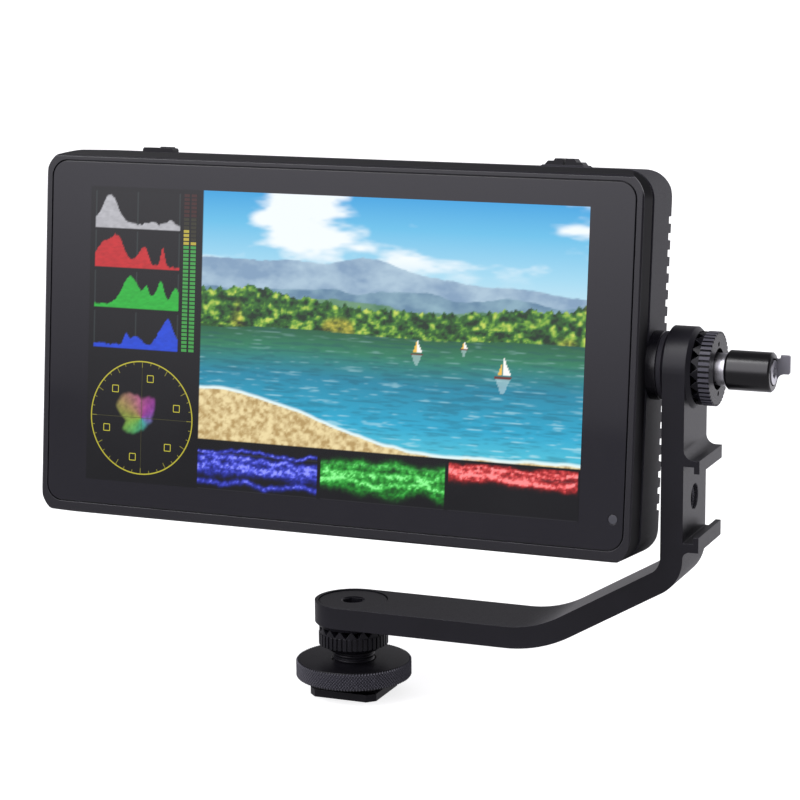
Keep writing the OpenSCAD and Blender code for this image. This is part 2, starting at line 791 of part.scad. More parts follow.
module battery_plate() color("#1c1c1f") {
  leaning() difference() {
    union() {
      upright(back_y, plate_y) rounded(plate_w, plate_h, 1.5);
      for (sx = [-1, 1])
        scale([sx, 1, 1]) {
          block([bay_w/2, plate_y - 1, 1.5 - plate_h/2],
            [plate_w/2, plate_y + rail_h, rail_top_z]);
          for (i = [0:2])
            translate([0, 0, hook_low_z + i*hook_pitch])
              block([bay_w/2 - hook_in, plate_y + rail_h - hook_t, 0],
                [bay_w/2 + 0.5, plate_y + rail_h, hook_len]);
        }
      block([-9, plate_y - 1, -plate_h/2 + 0.4], [9, plate_y + rail_h, -plate_h/2 + 3.4]);
    }
    block([-6.2, back_y - 1, latch_z - 4.2 - latch_travel], [6.2, back_y + 1.2, latch_z + 3.8]);
    block([-5, back_y, latch_z - 3.2 - latch_travel], [5, plate_y + 1, latch_z + 3.2]);
  }
}

module battery_contacts() color("goldenrod") {
  leaning() for (x = [-5.5, 0, 5.5])
    block([x - 0.5, plate_y, -plate_h/2 + 3.4], [x + 0.5, plate_y + 3.2, -plate_h/2 + 8.4]);
}

module battery_latch() color("#3c3c40") {
  leaning() {
    block([-5.9, back_y + run_gap, latch_z - 3.9], [5.9, back_y + 1.1, latch_z + 3.5]);
    block([-4.7, back_y + 1, latch_z - 2.9], [4.7, plate_y + 0.5, latch_z + 2.9]);
    for (z = [-2.2, -0.9, 0.4])
      block([-4, plate_y, latch_z + z], [4, plate_y + 0.9, latch_z + z + 0.6]);
    sideways(-3, 3) polygon([[plate_y, latch_z + 1.6], [plate_y + 2, latch_z + 1.6],
      [plate_y, latch_z + 2.9]]);
  }
}

// ---------- keys ----------

// A key's stem down through the wall and the flange that keeps it in.
module key_stem(x, w) {
  block([x - w/2, key_y - key_depth/2, flange_top_z - key_flange_t],
    [x + w/2, key_y + key_depth/2, top_z]);
}

module power_key() color("#222226") {
  leaning() {
    key_stem(power_key_x, power_key_w);
    block([power_key_x - power_key_w/2 - 1, key_y - 2.8, flange_top_z - key_flange_t],
      [power_key_x + power_key_w/2 + 1, key_y + 2.8, flange_top_z]);
    upright(key_y - key_depth/2, key_y + key_depth/2)
      polygon([[power_key_x - power_key_w/2, top_z - 0.5],
        [power_key_x - power_key_w/2, top_z + power_key_h - 0.4],
        [power_key_x - power_key_w/2 + 0.4, top_z + power_key_h],
        [power_key_x + power_key_w/2 - 0.4, top_z + power_key_h],
        [power_key_x + power_key_w/2, top_z + power_key_h - 0.4],
        [power_key_x + power_key_w/2, top_z - 0.5]]);
    for (dx = [0.8, 2, 3.2])
      translate([power_key_x + dx, 0, top_z + power_key_h])
        upright(key_y - 1.3, key_y + 1.3) circle(0.3);
  }
}

// The left key steps up towards the middle of the pair.
module user_key_left() color("#222226") {
  x1 = pad_x - key_gap/2;
  x0 = x1 - user_key_w;
  leaning() {
    key_stem((x0 + x1)/2, user_key_w);
    block([x0 - 0.9, key_y - 2.8, flange_top_z - key_flange_t], [x1, key_y + 2.8, flange_top_z]);
    upright(key_y - key_depth/2, key_y + key_depth/2)
      polygon([[x0, top_z - 0.5], [x0, top_z + 0.5], [x0 + 0.8, top_z + 1.4],
        [x0 + 2.2, top_z + 1.4], [x0 + 2.6, top_z + 2], [x1 - 0.25, top_z + 2], [x1, top_z - 0.5]]);
  }
}

// The right key steps down away from the middle.
module user_key_right() color("#222226") {
  x0 = pad_x + key_gap/2;
  x1 = x0 + user_key_w;
  leaning() {
    key_stem((x0 + x1)/2, user_key_w);
    block([x0, key_y - 2.8, flange_top_z - key_flange_t], [x1 + 0.9, key_y + 2.8, flange_top_z]);
    upright(key_y - key_depth/2, key_y + key_depth/2)
      polygon([[x0, top_z - 0.5], [x0 + 0.25, top_z + 2], [x0 + 2.3, top_z + 2],
        [x0 + 2.9, top_z + 1.2], [x1 - 0.6, top_z + 1.2], [x1, top_z + 0.5], [x1, top_z - 0.5]]);
  }
}

foot_plate();
foot_stud();
swivel_screw();
clamp_plate();
clamp_wheel();
swivel_ring();
tilt_arm();
tilt_ring();
tilt_hub();
friction_washer();
lock_shaft();
lock_grip();
lock_cap();
lock_tab();
front_frame();
touch_glass();
display_panel();
rear_housing();
main_board();
shield_can();
board_screws();
key_switches();
hdmi_sockets();
phone_jack();
usb_socket();
power_socket();
thread_inserts();
housing_screws();
light_sensor();
battery_plate();
battery_contacts();
battery_latch();
power_key();
user_key_left();
user_key_right();
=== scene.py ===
"""Looks of a camera-top field monitor on a tilt arm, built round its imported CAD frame."""

import json
import logging
import math
from dataclasses import dataclass, field
from enum import Enum

import bmesh
import bpy
import numpy as np
from mathutils import Matrix, Vector

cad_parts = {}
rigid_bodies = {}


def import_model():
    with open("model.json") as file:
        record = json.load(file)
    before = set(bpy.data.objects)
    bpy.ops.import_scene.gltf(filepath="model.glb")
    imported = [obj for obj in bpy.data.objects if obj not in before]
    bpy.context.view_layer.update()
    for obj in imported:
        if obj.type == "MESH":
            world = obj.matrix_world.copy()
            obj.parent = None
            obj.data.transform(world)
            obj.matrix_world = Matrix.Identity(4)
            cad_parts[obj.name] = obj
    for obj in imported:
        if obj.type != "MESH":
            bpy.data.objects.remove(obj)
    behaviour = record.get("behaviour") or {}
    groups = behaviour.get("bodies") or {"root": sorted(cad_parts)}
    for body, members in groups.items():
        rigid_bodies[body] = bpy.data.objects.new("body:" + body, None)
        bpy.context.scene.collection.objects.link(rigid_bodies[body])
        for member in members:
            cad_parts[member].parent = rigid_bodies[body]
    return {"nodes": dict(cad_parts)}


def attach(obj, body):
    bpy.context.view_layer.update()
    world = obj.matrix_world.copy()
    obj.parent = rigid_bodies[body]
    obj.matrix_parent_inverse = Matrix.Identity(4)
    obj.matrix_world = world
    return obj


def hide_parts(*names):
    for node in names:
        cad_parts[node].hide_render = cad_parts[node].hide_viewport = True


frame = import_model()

LOG = logging.getLogger("monitor")
MM = 0.001
TILT = math.radians(6.1)
AXIS_Z = 0.090
LEAN = Matrix.Translation((0, 0, AXIS_Z)) @ Matrix.Rotation(-TILT, 4, "X")
GLASS_Y = -14.0  # the glass's front, in mm from the tilt axis
BROAD_MM = 14.0  # size of the slow changes of tone on a coat
WEAR_AND_GLINT_SPOT_MM = 3.0  # size of the spots where an edge is scuffed; on some finishes they are partly painted glints
SHOWN = "shown"  # the mesh attribute that holds the screen's colours
Colour = tuple[float, float, float]
Socket = bpy.types.NodeSocket
Node = bpy.types.Node
Mesh = bpy.types.Mesh
Piece = bpy.types.Object
Vert = bmesh.types.BMVert


def srgb(code: str) -> Colour:
    """Turn a six-digit screen colour into linear light.

    Args:
        code: the colour as six hexadecimal digits.

    Returns:
        Linear red, green and blue.
    """
    parts = [int(code[i : i + 2], 16) / 255 for i in (0, 2, 4)]
    return tuple(p / 12.92 if p <= 0.04045 else ((p + 0.055) / 1.055) ** 2.4 for p in parts)


# ---------------------------------------------------------------- finishes


class Tree:
    """A node tree while it is being written."""

    def __init__(self, tree: bpy.types.NodeTree) -> None:
        """Write into the given tree."""
        self.tree = tree

    def add(self, kind: str, **settings: object) -> Node:
        """Add a node and set its plain properties.

        Args:
            kind: the node's type name.
            settings: properties to set on it.

        Returns:
            The new node.
        """
        node = self.tree.nodes.new(kind)
        for key, value in settings.items():
            setattr(node, key, value)
        return node

    def feed(self, target: Socket, value: object) -> None:
        """Join a socket to an input, or set a constant on it.

        Args:
            target: the input.
            value: a socket or a constant.
        """
        if isinstance(value, Socket):
            self.tree.links.new(value, target)
        else:
            target.default_value = value

    def put(self, node: Node, **values: object) -> Node:
        """Feed a node's inputs, by name with underscores for spaces.

        Args:
            node: the node.
            values: for each input a socket or a constant.

        Returns:
            The same node.
        """
        for key, value in values.items():
            self.feed(node.inputs[key.replace("_", " ")], value)
        return node

    def math(self, operation: str, *values: object) -> Socket:
        """One step of arithmetic.

        Args:
            operation: the math node's operation.
            values: its operands, sockets or constants.

        Returns:
            The result.
        """
        node = self.add("ShaderNodeMath", operation=operation)
        for target, value in zip(node.inputs, values):
            self.feed(target, value)
        return node.outputs[0]

    def vectors(self, operation: str, *values: object) -> Node:
        """One step of vector arithmetic.

        Args:
            operation: the vector math node's operation.
            values: its operands, sockets or constants.

        Returns:
            The node, whose outputs are Vector and Value.
        """
        node = self.add("ShaderNodeVectorMath", operation=operation)
        for target, value in zip(node.inputs, values):
            self.feed(target, value)
        return node

    def span(self, value: Socket, low: float, high: float, to_low: float,
             to_high: float, curve: str = "LINEAR") -> Socket:
        """Map a value from one range to another, clamped.

        Args:
            value: the input.
            low: input mapped to to_low.
            high: input mapped to to_high.
            to_low: result at low.
            to_high: result at high.
            curve: the interpolation between them.

        Returns:
            The mapped value.
        """
        node = self.add("ShaderNodeMapRange", interpolation_type=curve)
        return self.put(node, Value=value, From_Min=low, From_Max=high, To_Min=to_low,
                        To_Max=to_high).outputs[0]


class Graph(Tree):
    """A surface material's node tree."""

    def __init__(self, name: str) -> None:
        """Start an empty surface material.

        Args:
            name: the material's name.
        """
        self.material = bpy.data.materials.new(name)
        self.material.use_nodes = True
        super().__init__(self.material.node_tree)
        self.tree.nodes.clear()
        self.shader = self.add("ShaderNodeBsdfPrincipled")
        self.feed(self.add("ShaderNodeOutputMaterial").inputs[0], self.shader.outputs[0])

    def place(self, turn: Colour = (0, 0, 0), scale: Colour = (1, 1, 1)) -> Socket:
        """Object coordinates, turned and scaled.

        Args:
            turn: rotation about X, Y and Z in radians.
            scale: stretch along each axis.

        Returns:
            The vector socket.
        """
        where = self.add("ShaderNodeTexCoord").outputs["Object"]
        return self.put(self.add("ShaderNodeMapping"), Vector=where, Rotation=turn,
                        Scale=scale).outputs[0]

    def noise(self, vector: Socket, size_mm: float, detail: float = 3.0,
              rough: float = 0.55) -> Socket:
        """Fractal noise whose features are about size_mm across.

        Args:
            vector: where the noise is read.
            size_mm: feature size in millimetres.
            detail: octaves.
            rough: how strong the finer octaves are.

        Returns:
            The noise value, 0 to 1.
        """
        node = self.put(self.add("ShaderNodeTexNoise"), Vector=vector, Scale=1000.0 / size_mm,
                        Detail=detail, Roughness=rough)
        return node.outputs["Fac"]

    def mix(self, amount: Socket, first: object, second: object) -> Socket:
        """Blend two colours, each a socket or a linear colour.

        Args:
            amount: 0 gives the first, 1 the second.
            first: a colour.
            second: a colour.

        Returns:
            The blended colour.
        """
        node = self.add("ShaderNodeMix", data_type="RGBA")
        self.feed(node.inputs[0], amount)
        for slot, value in ((6, first), (7, second)):
            self.feed(node.inputs[slot], (*value, 1) if isinstance(value, tuple) else value)
        return node.outputs[2]

    def rounded_edges(self, radius_mm: float) -> tuple[Socket, Socket]:
        """Normals that turn smoothly over sharp edges, and a mask of those edges.

        Args:
            radius_mm: how far the rounding reaches.

        Returns:
            The rounded normal and the mask, 0 on flats and 1 on edges.
        """
        bevel = self.put(self.add("ShaderNodeBevel", samples=6), Radius=radius_mm * MM).outputs[0]
        plain = self.add("ShaderNodeNewGeometry").outputs["Normal"]
        alike = self.vectors("DOT_PRODUCT", bevel, plain).outputs["Value"]
        return bevel, self.span(alike, 0.99, 0.80, 0, 1)

    def bump(self, height: Socket, depth_mm: float, strength: float,
             normal: Socket | None = None) -> Socket:
        """A bumped normal.

        Args:
            height: the height field, 0 to 1.
            depth_mm: the full height in millimetres.
            strength: how much of it shows.
            normal: the normal that it is laid on.

        Returns:
            The normal socket.
        """
        node = self.put(self.add("ShaderNodeBump"), Height=height, Strength=strength,
                        Distance=depth_mm * MM)
        if normal is not None:
            self.feed(node.inputs["Normal"], normal)
        return node.outputs[0]

    def set(self, **values: object) -> None:
        """Feed the shader's own inputs, from sockets, numbers or linear colours."""
        self.put(self.shader, **{name: (*value, 1) if isinstance(value, tuple) else value
                                 for name, value in values.items()})


@dataclass(frozen=True)
class PaintedRimHighlight:
    """A painted highlight: a lighter colour further than a radius from an axis, on the outer crests and
    ribs.
    """

    colour: Colour
    radius_mm: float
    across: Colour = (1, 1, 0)
    centre: Colour = (0, 0, 0)


@dataclass(frozen=True)
class Coat:
    """A painted, anodised or moulded surface with fine grain and scuffed edges, whose light colour is
    partly a painted glint on some finishes; an optional lighter band beyond a radius is a painted
    highlight.
    """

    name: str
    colour: Colour
    deeper: Colour
    wear_and_glint_colour: Colour
    roughness: tuple[float, float] = (0.38, 0.5)
    metallic: float = 0.0
    grain_mm: float = 0.25
    grain_depth_mm: float = 0.012
    edge_mm: float = 0.18
    wear_and_glint: float = 0.5
    specular: float = 0.25
    rim: PaintedRimHighlight | None = None

    def material(self) -> bpy.types.Material:
        """Write the surface's nodes and return its material."""
        g = Graph(self.name)
        where = g.place()
        fine = g.noise(where, self.grain_mm, 2.0)
        rounded, edge = g.rounded_edges(self.edge_mm)
        broad = g.span(g.noise(where, BROAD_MM, 4.0, 0.6), 0.35, 0.65, 0, 1)
        wear_and_glint_spots = g.span(g.noise(where, WEAR_AND_GLINT_SPOT_MM, 4.0, 0.65), 0.35, 0.7, 0.15, self.wear_and_glint)
        tone = g.mix(broad, self.colour, self.deeper)
        # scuffed edges: partly scuffing, partly painted glints on some finishes
        shade = g.mix(g.math("MULTIPLY", edge, wear_and_glint_spots), tone, self.wear_and_glint_colour)
        # painted highlight: the colour turns lighter beyond the given radius from the axis
        if self.rim:
            reach = g.vectors("DISTANCE", g.place(scale=self.rim.across), self.rim.centre)
            far = self.rim.radius_mm * MM
            rim_highlight_share = g.span(reach.outputs["Value"], far - 0.1 * MM, far, 0, 1)
            shade = g.mix(rim_highlight_share, shade, self.rim.colour)
        g.set(Base_Color=shade, Roughness=g.span(fine, 0.3, 0.7, *self.roughness),
              Normal=g.bump(fine, self.grain_depth_mm, 0.5, rounded),
              Metallic=self.metallic, Specular_IOR_Level=self.specular)
        return g.material


@dataclass(frozen=True)
class FramePaint:
    """The front frame: a satin band round the glass and near-black matt sides behind it; the band is
    painted lighter than the sides as a painted highlight, and the light scuffed edges are partly a
    painted edge highlight.

    The sides' shading normal is leaned towards the front by the draft; the mesh stays straight.
    """

    name: str
    lip_highlight: Colour
    side: Colour
    wear_and_glint_colour: Colour
    lip_mm: float = 0.45
    gloss: float = 0.2
    matt: float = 0.4
    draft: float = 0.58

    def material(self) -> bpy.types.Material:
        """Write the surface's nodes and return its material."""
        g = Graph(self.name)
        where = g.add("ShaderNodeTexCoord").outputs["Object"]
        upright = g.put(g.add("ShaderNodeVectorRotate", rotation_type="X_AXIS"), Vector=where,
                        Center=(0, 0, AXIS_Z), Angle=TILT)
        depth = g.put(g.add("ShaderNodeSeparateXYZ"), Vector=upright.outputs[0]).outputs["Y"]
        lip_end, blur = (GLASS_Y + self.lip_mm) * MM, 0.05 * MM
        behind = g.span(depth, lip_end - blur, lip_end + blur, 0, 1)
        fine = g.noise(where, 0.2, 2.0)
        rounded, edge = g.rounded_edges(0.14)
        wear_and_glint_spots = g.span(g.noise(where, 5.0, 3.0), 0.35, 0.65, 0.25, 0.7)
        # painted highlight: the band in front takes the lighter colour, the sides behind their own
        # near-black
        tone = g.mix(behind, self.lip_highlight, self.side)
        lean = g.put(g.add("ShaderNodeVectorMath", operation="SCALE"), Vector=(0, -self.draft, 0),
                     Scale=behind)
        leaned = g.vectors("ADD", rounded, lean.outputs[0])
        normal = g.vectors("NORMALIZE", leaned.outputs[0])
        g.set(Base_Color=g.mix(g.math("MULTIPLY", edge, wear_and_glint_spots), tone, self.wear_and_glint_colour),
              Roughness=g.math("MULTIPLY", g.span(behind, 0, 1, self.gloss, self.matt),
                               g.span(fine, 0.3, 0.7, 0.9, 1.1)),
              Normal=g.bump(fine, 0.006, 0.4, normal.outputs[0]))
        return g.material


@dataclass(frozen=True)
class Turned:
    """Bare metal turned on a lathe about an axis along X or Z, with fine tool rings."""

    name: str
    colour: Colour
    roughness: tuple[float, float] = (0.18, 0.34)
    ring_mm: float = 0.22
    along: int = 0
    edge_mm: float = 0.15

    def material(self) -> bpy.types.Material:
        """Write the surface's nodes and return its material."""
        g = Graph(self.name)
        squeeze = [0.02, 0.02, 0.02]
        squeeze[self.along] = 1.0
        rings = g.noise(g.place(scale=tuple(squeeze)), self.ring_mm, 3.0, 0.7)
        dark = tuple(c * 0.75 for c in self.colour)
        g.set(Base_Color=g.mix(g.span(rings, 0.3, 0.7, 0, 1), self.colour, dark), Metallic=1.0,
              Roughness=g.span(rings, 0.25, 0.75, *self.roughness),
              Normal=g.bump(rings, 0.01, 0.5, g.rounded_edges(self.edge_mm)[0]))
        return g.material


@dataclass(frozen=True)
class CoverGlass:
    """The black-backed cover glass: deep gloss with a faint smear of handling."""

    name: str
    colour: Colour

    def material(self) -> bpy.types.Material:
        """Write the surface's nodes and return its material."""
        g = Graph(self.name)
        smear = g.noise(g.place(scale=(1, 1, 0.35)), 22.0, 5.0, 0.62)
        dark = tuple(c * 0.8 for c in self.colour)
        g.set(Base_Color=g.mix(g.noise(g.place(), 60.0, 1.0), self.colour, dark), IOR=1.5,
              Roughness=g.span(smear, 0.4, 0.75, 0.05, 0.13), Normal=g.rounded_edges(0.2)[0])
        return g.material


@dataclass(frozen=True)
class Lit:
    """A lit surface that shows the colours stored on its mesh."""

    name: str

    def material(self) -> bpy.types.Material:
        """Write the surface's nodes and return its material."""
        g = Graph(self.name)
        stored = g.add("ShaderNodeAttribute", attribute_name=SHOWN)
        g.set(Base_Color=(0.004, 0.004, 0.005), Emission_Color=stored.outputs["Color"],
              Emission_Strength=1.0,
              Roughness=g.span(g.noise(g.place(), 30.0, 3.0), 0.3, 0.7, 0.08, 0.14))
        return g.material


@dataclass(frozen=True)
class Board:
    """A printed board: green lacquer over faint copper tracks."""

    name: str

    def material(self) -> bpy.types.Material:
        """Write the surface's nodes and return its material."""
        g = Graph(self.name)
        tracks = g.put(g.add("ShaderNodeTexBrick"), Vector=g.place(turn=(math.pi / 2, 0, 0)),
                       Scale=260.0, Mortar_Size=0.03, Color1=(*srgb("0f5a34"), 1),
                       Color2=(*srgb("125f3a"), 1), Mortar=(*srgb("2d8a58"), 1))
        g.set(Base_Color=tracks.outputs["Color"],
              Roughness=g.span(g.noise(g.place(), 0.8), 0.3, 0.7, 0.25, 0.4),
              Normal=g.bump(tracks.outputs["Fac"], 0.02, 0.4))
        return g.material


class Finish(Enum):
    """The object's finishes, each by the recipe that makes it."""

    ARM = Coat("arm_anodised", srgb("19181e"), srgb("151419"), srgb("54535b"), (0.34, 0.44), wear_and_glint=0.5,
               specular=0.3)
    FOOT = Coat("foot_blackened", srgb("18171c"), srgb("0f0e13"), srgb("45444b"), (0.3, 0.42), wear_and_glint=0.5)
    # the knurl's crests, further than 14.35 mm from the axis, are painted lighter as a painted highlight
    WHEEL = Coat("wheel_black", srgb("0f0e13"), srgb("0b0a0e"), srgb("3d3c44"), (0.34, 0.44), wear_and_glint=0.5,
                 specular=0.3, edge_mm=0.12, rim=PaintedRimHighlight(srgb("4a4951"), 14.35))
    # the ribs' outer faces are painted lighter as a painted highlight, and the light edge colour is
    # partly scuffing, partly painted glints on the teeth
    RING = Coat("ring_anodised", srgb("0e0d12"), srgb("0b0a0f"), srgb("7a7981"), (0.24, 0.34), wear_and_glint=0.8,
                specular=0.18, edge_mm=0.12,
                rim=PaintedRimHighlight(srgb("4e4d55"), 8.86, (0, 1, 1), (0, 0, AXIS_Z)))
    HUB = Coat("hub_anodised", srgb("15141a"), srgb("111015"), srgb("54535b"), (0.2, 0.28), wear_and_glint=0.5,
               specular=0.5)
    THREAD = Coat("thread_worn", srgb("77767d"), srgb("5a5960"), srgb("d0d0d6"), (0.2, 0.3), metallic=0.8)
    # the first colour is the band round the glass, painted lighter as a painted highlight; the last is
    # the scuffed edges, partly a painted edge highlight
    FRAME = FramePaint("frame_paint", srgb("1b1a1f"), srgb("0c0b10"), srgb("6f6e76"))
    HOUSING = Coat("housing_paint", srgb("24232b"), srgb("201f27"), srgb("55545c"), (0.5, 0.6),
                   grain_mm=0.35, grain_depth_mm=0.008, wear_and_glint=0.45, specular=0.35)
    PLASTIC = Coat("moulded_plastic", srgb("1e1d22"), srgb("18171c"), srgb("3a393f"), (0.45, 0.6),
                   grain_mm=0.5, grain_depth_mm=0.03, wear_and_glint=0.3)
    KEY = Coat("key_plastic", srgb("18171c"), srgb("141318"), srgb("33323a"), (0.35, 0.48), wear_and_glint=0.3)
    GRIP = Coat("grip_black", srgb("060508"), srgb("050407"), srgb("2d2c34"), (0.2, 0.26), wear_and_glint=0.4,
                edge_mm=0.25, specular=0.6)
    WASHER = Coat("washer_fibre", srgb("3a393f"), srgb("2f2e34"), srgb("6c6b72"), (0.5, 0.6),
                  grain_mm=0.4, grain_depth_mm=0.02)
    TAB = Coat("tab_metal", srgb("85848b"), srgb("7a7980"), srgb("a9a8af"), (0.3, 0.4), metallic=0.4)
    SILVER = Turned("turned_silver", srgb("f4f3f8"), (0.28, 0.38))
    CAP = Turned("cap_silver", srgb("e4e3e9"), (0.42, 0.5))
    TIN = Turned("tinned_steel", srgb("c4c4c8"), (0.3, 0.45), 0.6, 2)
    BRASS = Turned("plain_brass", srgb("d8b25e"), (0.25, 0.4), 0.3, 2)
    GLASS = CoverGlass("cover_glass", srgb("1d1c22"))
    LENS = CoverGlass("sensor_lens", srgb("4c4c52"))
    PICTURE = Lit("screen_picture")
    BOARD = Board("printed_board")


_made: dict[Finish, bpy.types.Material] = {}


def finish_of(choice: Finish) -> bpy.types.Material:
    """The material of a finish, made once.

    Args:
        choice: which finish.

    Returns:
        Its material.
    """
    if choice not in _made:
        _made[choice] = choice.value.material()
    return _made[choice]


def dress(**choices: Finish) -> None:
    """Give CAD nodes their finishes.

    Args:
        choices: each node's finish, by the node's name.
    """
    for node, choice in choices.items():
        mesh = frame["nodes"][node].data
        mesh.materials.clear()
        mesh.materials.append(finish_of(choice))
        LOG.info("%s: CAD solid in %s", node, choice.value.name)


# ---------------------------------------------------------------- meshes


def new_piece(name: str, mesh: Mesh, choice: Finish | None) -> Piece:
    """Put a finished mesh in the scene as a piece at the origin.

    Args:
        name: the piece's name.
        mesh: its mesh, already in place.
        choice: its finish, or None to keep the materials that it has.

    Returns:
        The object.
    """
    mesh.name = name
    if choice is not None:
        mesh.materials.clear()
        mesh.materials.append(finish_of(choice))
        for face in mesh.polygons:
            face.material_index = 0
    piece = bpy.data.objects.new(name, mesh)
    bpy.context.scene.collection.objects.link(piece)
    return piece


def settle(piece: Piece, body: str, slot: str, *nodes: str) -> Piece:
    """Let a piece ride on its body and name the nodes it stands for.

    Args:
        piece: the piece.
        body: the CAD body that carries it.
        slot: the record's material slot; not used.
        nodes: CAD nodes that it replaces.

    Returns:
        The piece.
    """
    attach(piece, body)
    if nodes:
        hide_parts(*nodes)
    LOG.info("%s: %d faces on %s", piece.name, len(piece.data.polygons), body)
    return piece


def lathe(profile: list[tuple[float, float]], steps: int = 96) -> Mesh:
    """Turn a profile about Z into a closed mesh.

    Args:
        profile: radius and height pairs in mm, from the axis side round to it again.
        steps: sides round the axis.

    Returns:
        The mesh in metres.
    """
    bm = bmesh.new()
    rings = []
    for i in range(steps):
        a = 2 * math.pi * i / steps
        rings.append([bm.verts.new((r * MM * math.cos(a), r * MM * math.sin(a), z * MM))
                      for r, z in profile])
    count = len(profile)
    for i in range(steps):
        here, there = rings[i], rings[(i + 1) % steps]
        for j in range(count):
            k = (j + 1) % count
            bm.faces.new((here[j], there[j], there[k], here[k]))
    bmesh.ops.remove_doubles(bm, verts=bm.verts, dist=1e-8)
    bmesh.ops.recalc_face_normals(bm, faces=bm.faces)
    mesh = bpy.data.meshes.new("turned")
    bm.to_mesh(mesh)
    bm.free()
    smooth_by_angle(mesh)
    return mesh


def bridge(bm: bmesh.types.BMesh, low: list[Vert], high: list[Vert]) -> None:
    """Join two closed loops of equally many vertices with quads."""
    for i in range(len(low)):
        j = (i + 1) % len(low)
        bm.faces.new((low[i], low[j], high[j], high[i]))


def smooth_by_angle(mesh: Mesh, limit: float = 35.0) -> None:
    """Shade a mesh smooth but keep edges sharper than the limit, in degrees."""
    for face in mesh.polygons:
        face.use_smooth = True
    bm = bmesh.new()
    bm.from_mesh(mesh)
    for edge in bm.edges:
        if len(edge.link_faces) == 2:
            edge.smooth = edge.calc_face_angle(0) < math.radians(limit)
    bm.to_mesh(mesh)
    bm.free()


# ---------------------------------------------------------------- geometry nodes


class Grower(Tree):
    """A Geometry Nodes tree that grows a mesh from a host, with named sizes as its inputs."""

    def __init__(self, name: str, sizes: dict[str, float]) -> None:
        """Start a tree.

        Args:
            name: the tree's name.
            sizes: input names and their default values; whole numbers make integer inputs.
        """
        super().__init__(bpy.data.node_groups.new(name, "GeometryNodeTree"))
        face = self.tree.interface
        face.new_socket("Geometry", in_out="INPUT", socket_type="NodeSocketGeometry")
        face.new_socket("Geometry", in_out="OUTPUT", socket_type="NodeSocketGeometry")
        self.ids: dict[str, str] = {}
        for key, value in sizes.items():
            kind = "NodeSocketInt" if isinstance(value, int) else "NodeSocketFloat"
            socket = face.new_socket(key, in_out="INPUT", socket_type=kind)
            socket.default_value = value
            self.ids[key] = socket.identifier
        self.start = self.add("NodeGroupInput")
        self.end = self.add("NodeGroupOutput")

    def size(self, key: str) -> Socket:
        """The socket of a named input."""
        return self.start.outputs[key]

    def vector(self, x: object, y: object, z: object) -> Socket:
        """Three values as a vector."""
        return self.put(self.add("ShaderNodeCombineXYZ"), X=x, Y=y, Z=z).outputs[0]

    def close(self, grown: Socket, choice: Finish, with_host: bool) -> None:
        """End the tree with Realize Instances and Set Material.

        Args:
            grown: the geometry that was made.
            choice: its finish.
            with_host: whether the host's own mesh is kept beside it.
        """
        if with_host:
            join = self.add("GeometryNodeJoinGeometry")
            self.feed(join.inputs[0], self.start.outputs["Geometry"])
            self.feed(join.inputs[0], grown)
            grown = join.outputs[0]
        solid = self.put(self.add("GeometryNodeRealizeInstances"), Geometry=grown)
        painted = self.put(self.add("GeometryNodeSetMaterial"), Geometry=solid.outputs[0],
                           Material=finish_of(choice))
        self.feed(self.end.inputs[0], painted.outputs[0])

    def grow(self, host: Mesh, **sizes: float) -> Mesh:
        """Run the tree on a host mesh and return the plain result.

        Args:
            host: the mesh that it starts from.
            sizes: values for the named inputs.

        Returns:
            A new mesh with nothing live on it.
        """
        carrier = bpy.data.objects.new("carrier", host)
        bpy.context.scene.collection.objects.link(carrier)
        live = carrier.modifiers.new("grow", "NODES")
        live.node_group = self.tree
        for key, value in sizes.items():
            live[self.ids[key]] = value
        graph = bpy.context.evaluated_depsgraph_get()
        mesh = bpy.data.meshes.new_from_object(carrier.evaluated_get(graph))
        carrier.modifiers.remove(live)
        bpy.data.objects.remove(carrier)
        return mesh


def rim_points(tree: Grower) -> tuple[Socket, Socket]:
    """Points in staggered rows round Z, from the inputs Count, Rows, Radius, Low and Rise.

    Args:
        tree: the tree being written.

    Returns:
        The points and the rotation that turns +Z outwards at each.
    """
    total = tree.math("MULTIPLY", tree.size("Count"), tree.size("Rows"))
    points = tree.put(tree.add("GeometryNodePoints"), Count=total)
    index = tree.add("GeometryNodeInputIndex").outputs[0]
    row = tree.math("FLOOR", tree.math("DIVIDE", index, tree.size("Count")))
    stagger = tree.math("MULTIPLY", tree.math("MODULO", row, 2.0), 0.5)
    turn = tree.math("DIVIDE", 2 * math.pi, tree.size("Count"))
    angle = tree.math("MULTIPLY", tree.math("ADD", index, stagger), turn)
    height = tree.math("ADD", tree.size("Low"), tree.math("MULTIPLY", row, tree.size("Rise")))
    spot = tree.vector(tree.math("MULTIPLY", tree.math("COSINE", angle), tree.size("Radius")),
                       tree.math("MULTIPLY", tree.math("SINE", angle), tree.size("Radius")), height)
    moved = tree.put(tree.add("GeometryNodeSetPosition"), Geometry=points.outputs[0], Position=spot)
    return moved.outputs[0], tree.vector(0.0, math.pi / 2, angle)


def diamond_knurl() -> Grower:
    """A tree that covers a rim with staggered diamond points."""
    tree = Grower("diamond_knurl", {"Count": 90, "Rows": 5, "Radius": 0.0142, "Low": 0.0047,
                                    "Rise": 0.0007, "Across": 0.0005, "Height": 0.0004, "Slant": 1.4})
    points, turn = rim_points(tree)
    cone = tree.put(tree.add("GeometryNodeMeshCone"), Vertices=4, Radius_Top=0.00004,
                    Radius_Bottom=tree.size("Across"), Depth=tree.size("Height"))
    copies = tree.put(tree.add("GeometryNodeInstanceOnPoints"), Points=points,
                      Instance=cone.outputs["Mesh"], Rotation=turn,
                      Scale=tree.vector(tree.size("Slant"), 1.0, 1.0))
    tree.close(copies.outputs[0], Finish.WHEEL, True)
    return tree


